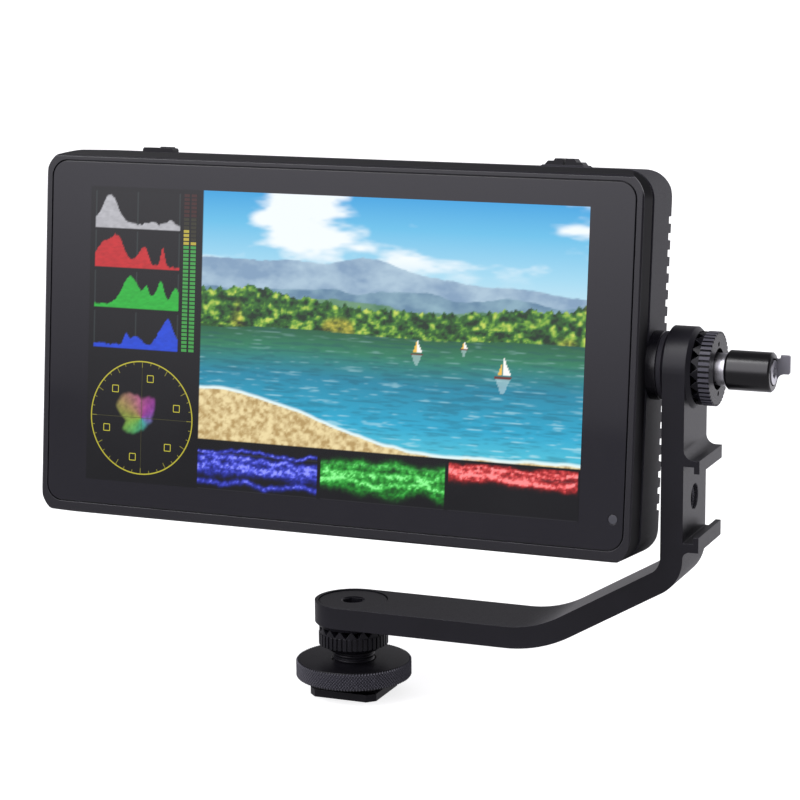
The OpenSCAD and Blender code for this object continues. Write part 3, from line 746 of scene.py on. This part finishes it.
def screw_thread(choice: Finish) -> Grower:
    """A tree that winds a thread's ridge round Z and keeps the host beside it.

    Args:
        choice: the finish of the thread and its host.

    Returns:
        The tree.
    """
    tree = Grower(f"screw_thread_{choice.name.lower()}",
                  {"Turns": 4.0, "Radius": 0.0052, "Length": 0.005, "Ridge": 0.0004, "Start": 0.0})
    coil = tree.put(tree.add("GeometryNodeCurveSpiral"), Resolution=64, Rotations=tree.size("Turns"),
                    Start_Radius=tree.size("Radius"), End_Radius=tree.size("Radius"),
                    Height=tree.size("Length"))
    lifted = tree.put(tree.add("GeometryNodeTransform"), Geometry=coil.outputs[0],
                      Translation=tree.vector(0.0, 0.0, tree.size("Start")))
    ridge = tree.put(tree.add("GeometryNodeCurvePrimitiveCircle"), Resolution=4,
                     Radius=tree.size("Ridge"))
    swept = tree.put(tree.add("GeometryNodeCurveToMesh"), Curve=lifted.outputs[0],
                     Profile_Curve=ridge.outputs[0], Fill_Caps=True)
    tree.close(swept.outputs[0], choice, True)
    return tree


def copies_on_corners(template: Piece, choice: Finish) -> Grower:
    """A tree that sets one copy of a template on each vertex of the host.

    Args:
        template: the object that is copied.
        choice: the copies' finish.

    Returns:
        The tree.
    """
    tree = Grower(f"{template.name}_copies", {"Turn": 0.0})
    source = tree.add("GeometryNodeObjectInfo")
    source.inputs["Object"].default_value = template
    copies = tree.put(tree.add("GeometryNodeInstanceOnPoints"), Points=tree.size("Geometry"),
                      Instance=source.outputs["Geometry"],
                      Rotation=tree.vector(0.0, tree.size("Turn"), 0.0))
    tree.close(copies.outputs[0], choice, False)
    return tree


# ---------------------------------------------------------------- screen picture


@dataclass
class ScreenPainter:
    """Paints the screen: a bay between wooded hills, with level and signal displays round it."""

    columns: int = 416
    rows: int = 234
    side: float = 0.235  # share of the width that the left column takes
    strip: float = 0.165  # share of the height that the bottom strip takes
    bars_low: float = 0.455  # where the charts and the level bars start, as a share of the height
    dial_up: float = 0.222  # the dial's centre, as a share of the height
    dial_radius: float = 0.192  # its radius, as a share of the height

    @staticmethod
    def ease(low: float, high: float, x: np.ndarray) -> np.ndarray:
        """Rise smoothly from 0 at low to 1 at high."""
        t = np.clip((x - low) / (high - low), 0, 1)
        return t * t * (3 - 2 * t)

    @staticmethod
    def grain(x: np.ndarray, y: np.ndarray, scale: float, seed: int, octaves: int = 4) -> np.ndarray:
        """Fractal value noise.

        Args:
            x: first coordinate.
            y: second coordinate.
            scale: cells across one unit.
            seed: fixes the pattern.
            octaves: layers of detail.

        Returns:
            Values near 0 to 1.
        """
        total, weight, share = np.zeros(np.shape(x)), 0.0, 1.0
        for k in range(octaves):
            table = np.random.default_rng(seed + k).random((128, 128))
            u, v = np.asarray(x) * scale * 2**k + 31.7 * k, np.asarray(y) * scale * 2**k + 17.3 * k
            i, j = np.floor(u).astype(int), np.floor(v).astype(int)
            fu, fv = u - i, v - j
            fu, fv = fu * fu * (3 - 2 * fu), fv * fv * (3 - 2 * fv)
            a, b = table[i % 128, j % 128], table[(i + 1) % 128, j % 128]
            c, d = table[i % 128, (j + 1) % 128], table[(i + 1) % 128, (j + 1) % 128]
            total += share * ((a * (1 - fu) + b * fu) * (1 - fv) + (c * (1 - fu) + d * fu) * fv)
            weight += share
            share *= 0.55
        return total / weight

    def level(self, x: np.ndarray, scale: float, seed: int, octaves: int = 4) -> np.ndarray:
        """The grain along one line, the same at every height."""
        return self.grain(x, x * 0, scale, seed, octaves)

    @staticmethod
    def over(under: np.ndarray, colour: np.ndarray | Colour, cover: np.ndarray) -> np.ndarray:
        """Lay a colour over a picture by a cover of 0 to 1."""
        return under * (1 - cover[..., None]) + np.asarray(colour) * cover[..., None]

    @staticmethod
    def plain(like: np.ndarray, colour: str) -> np.ndarray:
        """One screen colour over a whole picture."""
        return np.ones((*like.shape, 3)) * np.array(srgb(colour))

    @staticmethod
    def ramp(value: np.ndarray, stops: list[tuple[float, str]]) -> np.ndarray:
        """Colours along a run of stops.

        Args:
            value: where along the run.
            stops: places and screen colours.

        Returns:
            Linear colours.
        """
        places = [p for p, _ in stops]
        colours = np.array([srgb(c) for _, c in stops])
        return np.stack([np.interp(value, places, colours[:, k]) for k in range(3)], -1)

    def scenery(self, x: np.ndarray, y: np.ndarray) -> np.ndarray:
        """Paint the main picture.

        Args:
            x: 0 at the left to 1 at the right.
            y: 0 at the bottom to 1 at the top.

        Returns:
            Linear colours.
        """
        wide = x * 1.5
        sky = self.ramp(y, [(0.55, "cfeaf3"), (0.72, "9fd6ee"), (0.88, "62bce6"), (1.0, "2f9fdc")])
        cloud = self.grain(wide * 0.8, y * 2.2, 3.2, 11, 5)
        mass = self.ease(0.50, 0.68, cloud) * self.ease(0.62, 0.78, y)
        art = self.over(sky, srgb("f6fbfd"), mass * 0.95)
        for k, (base, swing, scale, seed, near, far) in enumerate((
                (0.70, 0.22, 1.7, 51, "7f9dbb", "a9c3d6"),
                (0.63, 0.17, 2.6, 63, "5f83a0", "8db0c0"),
                (0.575, 0.12, 3.6, 77, "4b7c5c", "6f9a78"))):
            ridge = base + swing * (self.grain(wide, wide * 0 + k, scale, seed, 3) - 0.5)
            ridge = ridge + 0.006 * self.level(wide, 60.0, seed + 9, 2)
            shade = self.grain(wide + y * 0.7, y * 1.6 - wide * 0.4, 9.0, seed + 4, 4)
            tint = self.ramp(shade, [(0.3, near), (0.7, far)])
            art = self.over(art, tint, self.ease(0.0, 0.006, ridge - y))
        shore = 0.47 + 0.03 * (self.level(wide, 2.2, 91, 2) - 0.5)
        opening = self.ease(0.1, 0.5, np.abs(x - 0.55))
        crown = shore + 0.085 + 0.10 * self.level(wide, 7.0, 97, 2) * opening
        crown = crown + 0.035 * self.level(wide, 70.0, 99, 2)
        leaves = self.grain(wide, y * 1.2, 42.0, 103, 3)
        patch = self.grain(wide, y, 7.0, 107, 2)
        wood = self.ramp(leaves, [(0.25, "0c2a14"), (0.5, "2f6a24"), (0.62, "6da332"), (0.8, "c8d85a")])
        gold = self.ramp(leaves, [(0.25, "3a3a10"), (0.5, "8a8a24"), (0.8, "e6c94e")])
        wood = self.over(wood, gold, self.ease(0.55, 0.72, patch) * 0.8)
        art = self.over(art, wood, self.ease(0, 0.004, crown - y))
        depth = np.clip((shore - y) / shore, 0, 1)
        ripple = self.grain(wide * 0.8, y * 9, 16.0, 121, 3)
        water = self.ramp(depth, [(0, "1f5c3a"), (0.16, "2b7d5e"), (0.4, "1c86a4"),
                                  (0.75, "2aa9cf"), (1, "53c6dd")])
        water = self.over(water, srgb("bfeaf2"), self.ease(0.62, 0.86, ripple) * (0.15 + 0.5 * depth))
        water = self.over(water, srgb("0e4a5c"), self.ease(0.5, 0.25, ripple) * 0.35)
        art = self.over(art, water, self.ease(0, 0.004, shore - y))
        beach = 0.20 * self.ease(0.62, 0.05, x) + 0.02 * self.level(wide, 9.0, 131, 3)
        sand = self.ramp(self.grain(wide, y, 60.0, 137, 3), [(0.3, "b89a62"), (0.7, "f0dca6")])
        art = self.over(art, srgb("e8fbfb"), self.ease(0, 0.012, beach + 0.014 - y))
        art = self.over(art, sand, self.ease(0, 0.006, beach - y))
        for bx, by, size in ((0.58, 0.40, 0.060), (0.80, 0.33, 0.085), (0.70, 0.43, 0.035)):
            art = self.sail(art, x, y, bx, by, size)
        return art

    def sail(self, art: np.ndarray, x: np.ndarray, y: np.ndarray, bx: float, by: float,
             size: float) -> np.ndarray:
        """Paint a small sailing boat with its reflection.

        Args:
            art: the picture so far.
            x: across.
            y: up.
            bx: the boat's place across.
            by: its waterline.
            size: its height.

        Returns:
            The picture with the boat.
        """
        u, v = (x - bx) * 1.5 / size, (y - by) / size
        mirrored = ((v < 0) & (v > -0.7) & (np.abs(u) < 0.34 * (1 + v / 0.9))).astype(float) * 0.35
        art = self.over(art, srgb("d6f2f6"), mirrored)
        main = ((v > 0.12) & (u > 0.02) & (u < 0.42 * (1 - v))).astype(float)
        fore = ((v > 0.12) & (u < -0.02) & (u > -0.30 * (0.9 - v))).astype(float)
        hull = ((v > -0.04) & (v < 0.10) & (np.abs(u) < 0.36 + 0.5 * v)).astype(float)
        art = self.over(art, srgb("fbfbf6"), main)
        art = self.over(art, srgb("f3c14a"), fore)
        return self.over(art, srgb("6b2f22"), hull)

    def chart(self, x: np.ndarray, y: np.ndarray, colour: str, seed: int) -> np.ndarray:
        """Paint one filled brightness chart.

        Args:
            x: 0 to 1 across the chart.
            y: 0 to 1 up it.
            colour: the fill's screen colour.
            seed: fixes its shape.

        Returns:
            Linear colours.
        """
        rng = np.random.default_rng(seed)
        outline = np.zeros_like(x)
        for _ in range(6):
            height, middle, width = rng.uniform(0.15, 0.55), rng.random(), rng.uniform(0.03, 0.16)
            outline += height * np.exp(-(((x - middle) / width) ** 2))
        outline = 0.06 + 0.80 * outline / outline.max() + 0.10 * self.level(x, 40.0, seed, 3)
        back = self.plain(x, "08080a")
        rule = (np.abs((x * 4) % 1 - 0.5) > 0.49).astype(float) * 0.22
        back = self.over(back, srgb("5a6a6a"), rule)
        tone = np.asarray(srgb(colour)) * (0.75 + 0.35 * self.grain(x, y, 22.0, seed + 5, 2))[..., None]
        return self.over(back, tone, self.ease(0, 0.03, outline - y))

    def trace(self, x: np.ndarray, y: np.ndarray, colour: str, seed: int) -> np.ndarray:
        """Paint one signal trace of scattered bright bands.

        Args:
            x: 0 to 1 across the trace.
            y: 0 to 1 up it.
            colour: its screen colour.
            seed: fixes its shape.

        Returns:
            Linear colours.
        """
        light = np.zeros_like(x)
        rng = np.random.default_rng(seed)
        for _ in range(5):
            middle = rng.uniform(0.12, 0.85)
            wave = self.level(x, 5.0, int(rng.integers(900)), 4) - 0.5
            bright, width = rng.uniform(0.25, 0.8), rng.uniform(0.02, 0.10)
            light += bright * np.exp(-(((y - (middle + 0.30 * wave)) / width) ** 2))
        light *= 0.25 + 1.1 * self.grain(x, y * 0.5, 46.0, seed + 1, 3) ** 2 * 2
        light = np.clip(light, 0, 1)[..., None]
        back = self.plain(x, "050507")
        rule = (np.abs((y * 4) % 1 - 0.5) > 0.47).astype(float) * 0.25
        back = self.over(back, srgb("4c4c52"), rule)
        return np.clip(back + np.asarray(srgb(colour)) * light * 1.1 + 0.25 * light**3, 0, 1)

    def dial(self, x: np.ndarray, y: np.ndarray) -> np.ndarray:
        """Paint the colour dial's cloud, x and y running from -1 to 1 over the circle."""
        radius, angle = np.hypot(x, y), np.arctan2(y, x)
        cloud = 0.30 + 0.34 * self.grain(np.cos(angle) + 2, np.sin(angle) + 2, 1.6, 203, 3)
        cloud = cloud * (0.8 + 0.35 * np.cos(angle - 2.4))
        speckle = 0.35 + 0.75 * self.grain(x + 3, y + 3, 16.0, 207, 3)
        density = self.ease(0.0, 0.10, cloud - radius) * speckle
        hue = np.stack([0.5 + 0.5 * np.cos(angle - k) for k in (1.75, 4.0, 0.1)], -1)
        back = self.plain(x, "060608")
        return self.over(back, 0.08 + 0.55 * hue, np.clip(density, 0, 1) * 0.75)

    def paint(self) -> np.ndarray:
        """Paint the whole screen and return linear colours by row and column."""
        u, v = np.meshgrid((np.arange(self.columns + 1)) / self.columns,
                           (np.arange(self.rows + 1)) / self.rows)
        art = self.plain(u, "050506")
        gap = 0.003
        main = (u > self.side + gap) & (v > self.strip + gap)
        x, y = (u - self.side) / (1 - self.side), (v - self.strip) / (1 - self.strip)
        art = np.where(main[..., None], self.scenery(x, y), art)
        for k, colour in enumerate(("2f45ff", "2ee03c", "ff2c2c")):
            low, high = self.side + (1 - self.side) * k / 3, self.side + (1 - self.side) * (k + 1) / 3
            here = (u > low + gap) & (u < high - gap) & (v < self.strip - gap)
            drawn = self.trace((u - low) / (high - low), v / self.strip, colour, 301 + 7 * k)
            art = np.where(here[..., None], drawn, art)
        left, right = 0.012, self.side - 0.045
        charts = (("1f49d8", 401), ("28b53a", 417), ("c8262a", 433), ("b9b9bf", 449))
        for k, (colour, seed) in enumerate(charts):
            low, high = self.bars_low + 0.136 * k, self.bars_low + 0.136 * k + 0.124
            here = (u > left) & (u < right) & (v > low) & (v < high)
            drawn = self.chart((u - left) / (right - left), (v - low) / (high - low), colour, seed)
            art = np.where(here[..., None], drawn, art)
        aspect = 132.8 / 74.7
        x = (u - self.side / 2) * aspect / self.dial_radius
        y = (v - self.dial_up) / self.dial_radius
        art = np.where((np.hypot(x, y) < 1)[..., None], self.dial(x, y), art)
        return np.clip(art, 0, 1)


@dataclass
class Screen:
    """The lit picture area under the cover glass and the drawn lines on it."""

    width: float = 132.8
    height: float = 74.7
    y: float = GLASS_Y - 0.03
    painter: ScreenPainter = field(default_factory=ScreenPainter)

    def picture(self) -> Piece:
        """Build the picture's grid with its colours stored on it."""
        p = self.painter
        u, v = np.meshgrid(np.linspace(0, 1, p.columns + 1), np.linspace(0, 1, p.rows + 1))
        co = np.stack([(u - 0.5) * self.width * MM, np.full_like(u, self.y * MM),
                       (v - 0.5) * self.height * MM], -1)
        i, j = np.meshgrid(np.arange(p.columns), np.arange(p.rows))
        a = (j * (p.columns + 1) + i).ravel()
        quads = np.stack([a, a + 1, a + p.columns + 2, a + p.columns + 1], -1)
        mesh = bpy.data.meshes.new("picture")
        mesh.from_pydata(co.reshape(-1, 3).tolist(), [], quads.tolist())
        stored = mesh.attributes.new(SHOWN, "FLOAT_COLOR", "POINT")
        colours = np.concatenate([p.paint().reshape(-1, 3), np.ones((co.size // 3, 1))], -1)
        stored.data.foreach_set("color", colours.astype(np.float32).ravel())
        mesh.transform(LEAN)
        return settle(new_piece("screen_picture", mesh, Finish.PICTURE), "monitor", "display")

    def lines(self) -> Piece:
        """Build the dial's ring, ticks and target boxes and the level bars."""
        bm = bmesh.new()
        shown = bm.verts.layers.float_color.new(SHOWN)

        def patch(corners: list[tuple[float, float]], colour: str) -> None:
            """Add one flat patch in picture millimetres from the middle."""
            made = [bm.verts.new((x * MM, (self.y - 0.03) * MM, z * MM)) for x, z in corners]
            for vert in made:
                vert[shown] = (*srgb(colour), 1)
            bm.faces.new(made)

        p = self.painter
        cx, cz = (p.side / 2 - 0.5) * self.width, (p.dial_up - 0.5) * self.height
        radius, half = p.dial_radius * self.height, 0.16
        sides, ticks, targets, steps = 96, 36, 6, 40
        for k in range(sides):
            a, b = 2 * math.pi * k / sides, 2 * math.pi * (k + 1) / sides
            ring = [(cx + r * math.cos(t), cz + r * math.sin(t)) for r, t in
                    ((radius - half, a), (radius + half, a), (radius + half, b), (radius - half, b))]
            patch(ring, "b8b032")
        for k in range(ticks):
            a = math.radians(360 / ticks * k)
            c, s = math.cos(a), math.sin(a)
            long = 1.6 if k % 3 == 0 else 0.8
            r0, r1, w = radius - long, radius - 0.1, 0.09
            tick = [(cx + r * c - q * s, cz + r * s + q * c) for r, q in
                    ((r0, w), (r0, -w), (r1, -w), (r1, w))]
            patch(tick, "8a8430")
        for k in range(targets):
            a = math.radians(17 + 360 / targets * k)
            tx, tz = cx + 0.72 * radius * math.cos(a), cz + 0.72 * radius * math.sin(a)
            for side in range(4):
                t = math.pi / 2 * side
                c, s = math.cos(t), math.sin(t)
                corners = [(0.75, -0.85), (0.95, -0.85), (0.95, 0.85), (0.75, 0.85)]
                patch([(tx + x * c - z * s, tz + x * s + z * c) for x, z in corners], "c6be3a")
        for x0, z0, x1, z1 in ((cx - radius * 0.9, cz - 0.05, cx + radius * 0.9, cz + 0.05),
                               (cx - 0.05, cz - radius * 0.9, cx + 0.05, cz + radius * 0.9)):
            patch([(x0, z0), (x1, z0), (x1, z1), (x0, z1)], "4d4b28")
        left = (p.side - 0.036 - 0.5) * self.width
        for bar in range(2):
            for k in range(steps):
                z = (p.bars_low + 0.532 * (k + 0.5) / steps - 0.5) * self.height
                colour = "c23a2c" if k > 33 else ("b9a93a" if k > 26 else "3f9a46")
                if k > 30 - 3 * bar:
                    colour = "3a1712" if k > 33 else "2c2a16"
                x = left + 2.0 * bar
                patch([(x, z - 0.36), (x + 1.5, z - 0.36), (x + 1.5, z + 0.36), (x, z + 0.36)], colour)
        mesh = bpy.data.meshes.new("screen_lines")
        bm.to_mesh(mesh)
        bm.free()
        mesh.transform(LEAN)
        return settle(new_piece("screen_lines", mesh, Finish.PICTURE), "monitor", "display")

    def build(self) -> None:
        """Make the picture and its lines."""
        self.picture()
        self.lines()


# ---------------------------------------------------------------- sub-assemblies


@dataclass
class Foot:
    """Shoe foot, clamping wheel and the toothed swivel under the arm."""

    stud_r: float = 5.5
    wheel_r: float = 14.63
    wheel_z: float = 4.0
    wheel_t: float = 4.6
    collar_z: float = 11.15
    disc_z: float = 21.95
    pitch: float = 1.25
    foot_z: float = 1.9
    collar_t: float = 1.5
    points: int = 118  # of the wheel's knurl in each row, and the sides of its rim

    def stud(self) -> Piece:
        """Build the stud with its wound thread, collar and spindle."""
        root = self.stud_r - 0.45
        low, top, over = self.foot_z, self.collar_z, self.collar_z + self.collar_t
        profile = [(0, 0.8), (3, 0.8), (3, low), (root, low), (root, top), (6.3, top), (8.0, over),
                   (6.0, over), (6.0, self.disc_z), (4.6, self.disc_z), (4.6, over), (0, over)]
        start, length = 2.3, top - 2.6  # where the thread begins and how far it winds
        grown = screw_thread(Finish.FOOT).grow(
            lathe(profile), Turns=length / self.pitch, Radius=(root + 0.02) * MM,
            Length=length * MM, Ridge=0.43 * MM, Start=start * MM)
        piece = new_piece("foot_stud_threaded", grown, Finish.FOOT)
        return settle(piece, "foot", "foot_steel", "foot_stud")

    def wheel(self) -> Piece:
        """Build the clamping wheel with a diamond knurl over nearly its whole rim."""
        top, low, bore = self.wheel_z + self.wheel_t, self.wheel_z, self.stud_r + 0.06
        r = self.wheel_r - 0.34
        profile = [(bore, low + 0.2), (bore + 0.2, low), (r - 0.1, low), (r, low + 0.28), (r, top - 0.28),
                   (r - 0.1, top - 0.03), (r - 0.25, top), (bore + 0.25, top), (bore, top - 0.25)]
        grown = diamond_knurl().grow(lathe(profile, self.points), Count=self.points, Rows=9,
                                     Radius=(r + 0.14) * MM, Low=(low + 0.5) * MM, Rise=0.45 * MM,
                                     Across=0.33 * MM, Height=0.38 * MM, Slant=1.55)
        piece = new_piece("clamp_wheel_knurled", grown, Finish.WHEEL)
        return settle(piece, "wheel", "foot_steel", "clamp_wheel")

    def build(self) -> None:
        """Make and dress the foot."""
        self.stud()
        self.wheel()
        dress(foot_plate=Finish.FOOT, clamp_plate=Finish.WHEEL, swivel_screw=Finish.ARM,
              swivel_ring=Finish.FOOT)


@dataclass
class TiltJoint:
    """Hub, washer, toothed ring and lock screw on the tilt axis."""

    def build(self) -> None:
        """Dress the joint."""
        dress(tilt_hub=Finish.HUB, friction_washer=Finish.WASHER, tilt_ring=Finish.RING,
              lock_shaft=Finish.SILVER, lock_grip=Finish.GRIP, lock_cap=Finish.CAP,
              lock_tab=Finish.TAB)


@dataclass
class Arm:
    """The bent arm with its cold shoe."""

    inner_x: float = 84.2
    outer_x: float = 89.7
    shoe_z: float = 58.6
    bore_r: float = 3.175
    pitch: float = 1.27

    def thread(self) -> Piece:
        """Build the quarter-inch thread inside the hole of the cold shoe."""
        x0, x1 = self.inner_x + 0.1, self.outer_x - 0.1
        r = self.bore_r - 0.02
        sleeve = lathe([(r - 0.06, 0), (r, 0), (r, x1 - x0), (r - 0.06, x1 - x0)], 64)
        rise = x1 - x0 - 0.9
        grown = screw_thread(Finish.THREAD).grow(
            sleeve, Turns=rise / self.pitch, Radius=(r - 0.12) * MM, Length=rise * MM,
            Ridge=0.42 * MM, Start=0.45 * MM)
        place = Matrix.Translation((x0 * MM, 0, self.shoe_z * MM))
        grown.transform(place @ Matrix.Rotation(math.pi / 2, 4, "Y"))
        return settle(new_piece("arm_thread", grown, Finish.THREAD), "arm", "arm_paint")

    def build(self) -> None:
        """Make the thread and dress the arm."""
        self.thread()
        dress(tilt_arm=Finish.ARM)


@dataclass
class Body:
    """The monitor's frame, glass, housing, sockets, keys and battery plate."""

    screw_x: float = 74.4
    screw_z: float = 42.9
    back_y: float = 9.5

    def screw(self) -> Piece:
        """Build the template of a housing screw, its head towards +Z."""
        bm = bmesh.new()
        head, shank, mouth, key = 1.8, 0.95, 1.05, 0.85
        rings = [(shank, -19.7), (shank, -1.4), (head, -1.4), (head, -0.22), (head - 0.12, -0.1),
                 (mouth, 0.0)]
        steps = 36
        turns = [2 * math.pi * i / steps for i in range(steps)]
        circle = [(math.cos(a), math.sin(a)) for a in turns]
        corners = [(math.cos(math.pi / 3 * k), math.sin(math.pi / 3 * k)) for k in range(7)]
        per_side = steps // 6
        hexagon = []
        for i in range(steps):
            side, share = i // per_side, i % per_side / per_side
            (x0, y0), (x1, y1) = corners[side], corners[side + 1]
            hexagon.append((x0 * (1 - share) + x1 * share, y0 * (1 - share) + y1 * share))
        runs = [(circle, r, z) for r, z in rings] + [(hexagon, key, z) for z in (-0.05, -0.8)]
        loops = [[bm.verts.new((r * MM * x, r * MM * y, z * MM)) for x, y in shape]
                 for shape, r, z in runs]
        for low, high in zip(loops, loops[1:]):
            bridge(bm, low, high)
        bm.faces.new(list(reversed(loops[0])))
        bm.faces.new(loops[-1])
        bmesh.ops.recalc_face_normals(bm, faces=bm.faces)
        mesh = bpy.data.meshes.new("housing_screw")
        bm.to_mesh(mesh)
        bm.free()
        smooth_by_angle(mesh)
        template = bpy.data.objects.new("housing_screw", mesh)
        bpy.context.scene.collection.objects.link(template)
        return template

    def screws(self) -> Piece:
        """Set the housing screws in the back's four corners."""
        template = self.screw()
        template.data.transform(Matrix.Rotation(-math.pi / 2, 4, "X"))
        host = bpy.data.meshes.new("screw_places")
        host.from_pydata([(sx * self.screw_x * MM, (self.back_y - 0.2) * MM, sz * self.screw_z * MM)
                          for sx in (-1, 1) for sz in (-1, 1)], [], [])
        mesh = copies_on_corners(template, Finish.FOOT).grow(host, Turn=0.3)
        bpy.data.objects.remove(template)
        mesh.transform(LEAN)
        piece = new_piece("housing_screws_detailed", mesh, None)
        return settle(piece, "monitor", "foot_steel", "housing_screws")

    def build(self) -> None:
        """Make the screws and dress the body."""
        self.screws()
        dress(front_frame=Finish.FRAME, touch_glass=Finish.GLASS, light_sensor=Finish.LENS,
              display_panel=Finish.PLASTIC, rear_housing=Finish.HOUSING, main_board=Finish.BOARD,
              shield_can=Finish.TIN, board_screws=Finish.TIN, key_switches=Finish.PLASTIC,
              hdmi_sockets=Finish.TIN, phone_jack=Finish.PLASTIC, usb_socket=Finish.TIN,
              power_socket=Finish.PLASTIC, thread_inserts=Finish.BRASS,
              battery_plate=Finish.PLASTIC, battery_contacts=Finish.BRASS,
              battery_latch=Finish.KEY, power_key=Finish.KEY, user_key_left=Finish.KEY,
              user_key_right=Finish.KEY)


# ---------------------------------------------------------------- studio


@dataclass
class Studio:
    """White floor, soft light and the camera at the photograph's angle."""

    place: Colour = (0.2585, -0.5901, 0.2069)
    right: Colour = (0.92489, 0.38014, -0.00874)
    up: Colour = (-0.06838, 0.18889, 0.97961)
    back: Colour = (0.37404, -0.90543, 0.20070)
    lens: float = 117.72
    shift: tuple[float, float] = (-0.0058, 0.0041)
    room: float = 0.14
    even: float = 0.7
    banks: tuple[tuple[Colour, float, float, float], ...] = (
        ((-0.31, -0.76, 0.57), 0.76, 0.95, 2.5),
        ((0.3, 0.9, 0.1), 0.6, 0.97, 0.35),
        ((0.45, 0.88, 0.12), 0.85, 0.98, 0.6),
    )
    tint: Colour = (0.985, 0.967, 1.03)
    floor_colour: float = 0.45
    floor_lift: float = 0.78
    floor_mirrored: tuple[float, float] = (0.36, 1.05)
    dark_until: float = 0.0
    bright_from: float = 0.2

    def camera(self) -> None:
        """Set the camera where the photograph was taken from."""
        data = bpy.data.cameras.new("camera")
        data.lens, data.sensor_width = self.lens, 36.0
        data.shift_x, data.shift_y = self.shift
        data.clip_start, data.clip_end = 0.01, 50.0
        camera = bpy.data.objects.new("camera", data)
        turn = Matrix((self.right, self.up, self.back)).transposed().to_4x4()
        camera.matrix_world = Matrix.Translation(self.place) @ turn
        bpy.context.scene.collection.objects.link(camera)
        bpy.context.scene.camera = camera

    def floor(self) -> None:
        """Lay a wide white floor that keeps the object's shadow."""
        size = 8.0
        mesh = bpy.data.meshes.new("floor")
        mesh.from_pydata([(-size, -size, -0.0002), (size, -size, -0.0002), (size, size, -0.0002),
                          (-size, size, -0.0002)], [], [(0, 1, 2, 3)])
        g = Graph("floor_white")
        path = g.add("ShaderNodeLightPath")
        camera_ray, glossy_ray = path.outputs["Is Camera Ray"], path.outputs["Is Glossy Ray"]
        depth = g.put(g.add("ShaderNodeSeparateXYZ"), Vector=g.place()).outputs["Y"]
        mirrored = g.span(depth, self.dark_until, self.bright_from, *self.floor_mirrored)
        g.set(Base_Color=g.mix(glossy_ray, (self.floor_colour,) * 3, (0, 0, 0)), Roughness=0.9,
              Specular_IOR_Level=0.0, Emission_Color=g.mix(camera_ray, self.tint, (1, 1, 1)),
              Emission_Strength=g.math("MULTIPLY_ADD", camera_ray, self.floor_lift,
                                       g.math("MULTIPLY", glossy_ray, mirrored)))
        mesh.materials.append(g.material)
        floor = bpy.data.objects.new("floor", mesh)
        bpy.context.scene.collection.objects.link(floor)

    def world(self) -> None:
        """Light the room: soft banks of light for reflections, even light for diffuse rays.

        White shows to camera and transmission rays only.
        """
        world = bpy.data.worlds.new("studio")
        bpy.context.scene.world = world
        world.use_nodes = True
        g = Tree(world.node_tree)
        g.tree.nodes.clear()
        way = g.add("ShaderNodeTexCoord").outputs["Generated"]
        total = 0.0
        for aim, low, high, light in self.banks:
            dot = g.vectors("DOT_PRODUCT", way, Vector(aim).normalized()).outputs["Value"]
            total = g.math("ADD", total, g.span(dot, low, high, 0.0, light, "SMOOTHSTEP"))
        path = g.add("ShaderNodeLightPath")
        even = g.add("ShaderNodeMix", data_type="FLOAT")
        for slot, value in ((0, path.outputs["Is Diffuse Ray"]), (2, total), (3, self.even)):
            g.feed(even.inputs[slot], value)
        lit = g.put(g.add("ShaderNodeBackground"), Color=(*self.tint, 1),
                    Strength=g.math("ADD", even.outputs[0], self.room))
        white = g.put(g.add("ShaderNodeBackground"), Color=(1, 1, 1, 1))
        seen = g.math("MAXIMUM", path.outputs["Is Camera Ray"], path.outputs["Is Transmission Ray"])
        pick = g.add("ShaderNodeMixShader")
        for target, value in zip(pick.inputs, (seen, lit.outputs[0], white.outputs[0])):
            g.feed(target, value)
        g.feed(g.add("ShaderNodeOutputWorld").inputs[0], pick.outputs[0])

    def lamp(self, name: str, at: Colour, aim: Colour, size: float, watts: float) -> None:
        """Hang one soft lamp.

        Args:
            name: its name.
            at: where it hangs.
            aim: what it points at.
            size: its side in metres.
            watts: its power.
        """
        data = bpy.data.lights.new(name, "AREA")
        data.shape, data.size, data.energy = "SQUARE", size, watts
        lamp = bpy.data.objects.new(name, data)
        lamp.location = at
        lamp.rotation_euler = (Vector(aim) - Vector(at)).to_track_quat("-Z", "Y").to_euler()
        bpy.context.scene.collection.objects.link(lamp)

    def build(self) -> None:
        """Make the camera, floor, world and key lamp."""
        self.camera()
        self.floor()
        self.world()
        self.lamp("key", (-0.7, -0.5, 1.2), (0, 0, 0.08), 0.8, 12.0)
        bpy.context.scene.view_settings.view_transform = "Standard"


def main() -> None:
    """Build the looks in order and report each piece."""
    logging.basicConfig(level=logging.INFO, format="%(message)s")
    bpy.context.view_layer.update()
    Studio().build()
    for part in (Foot(), TiltJoint(), Arm(), Body(), Screen()):
        part.build()
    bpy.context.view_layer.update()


if __name__ == "__main__":
    main()
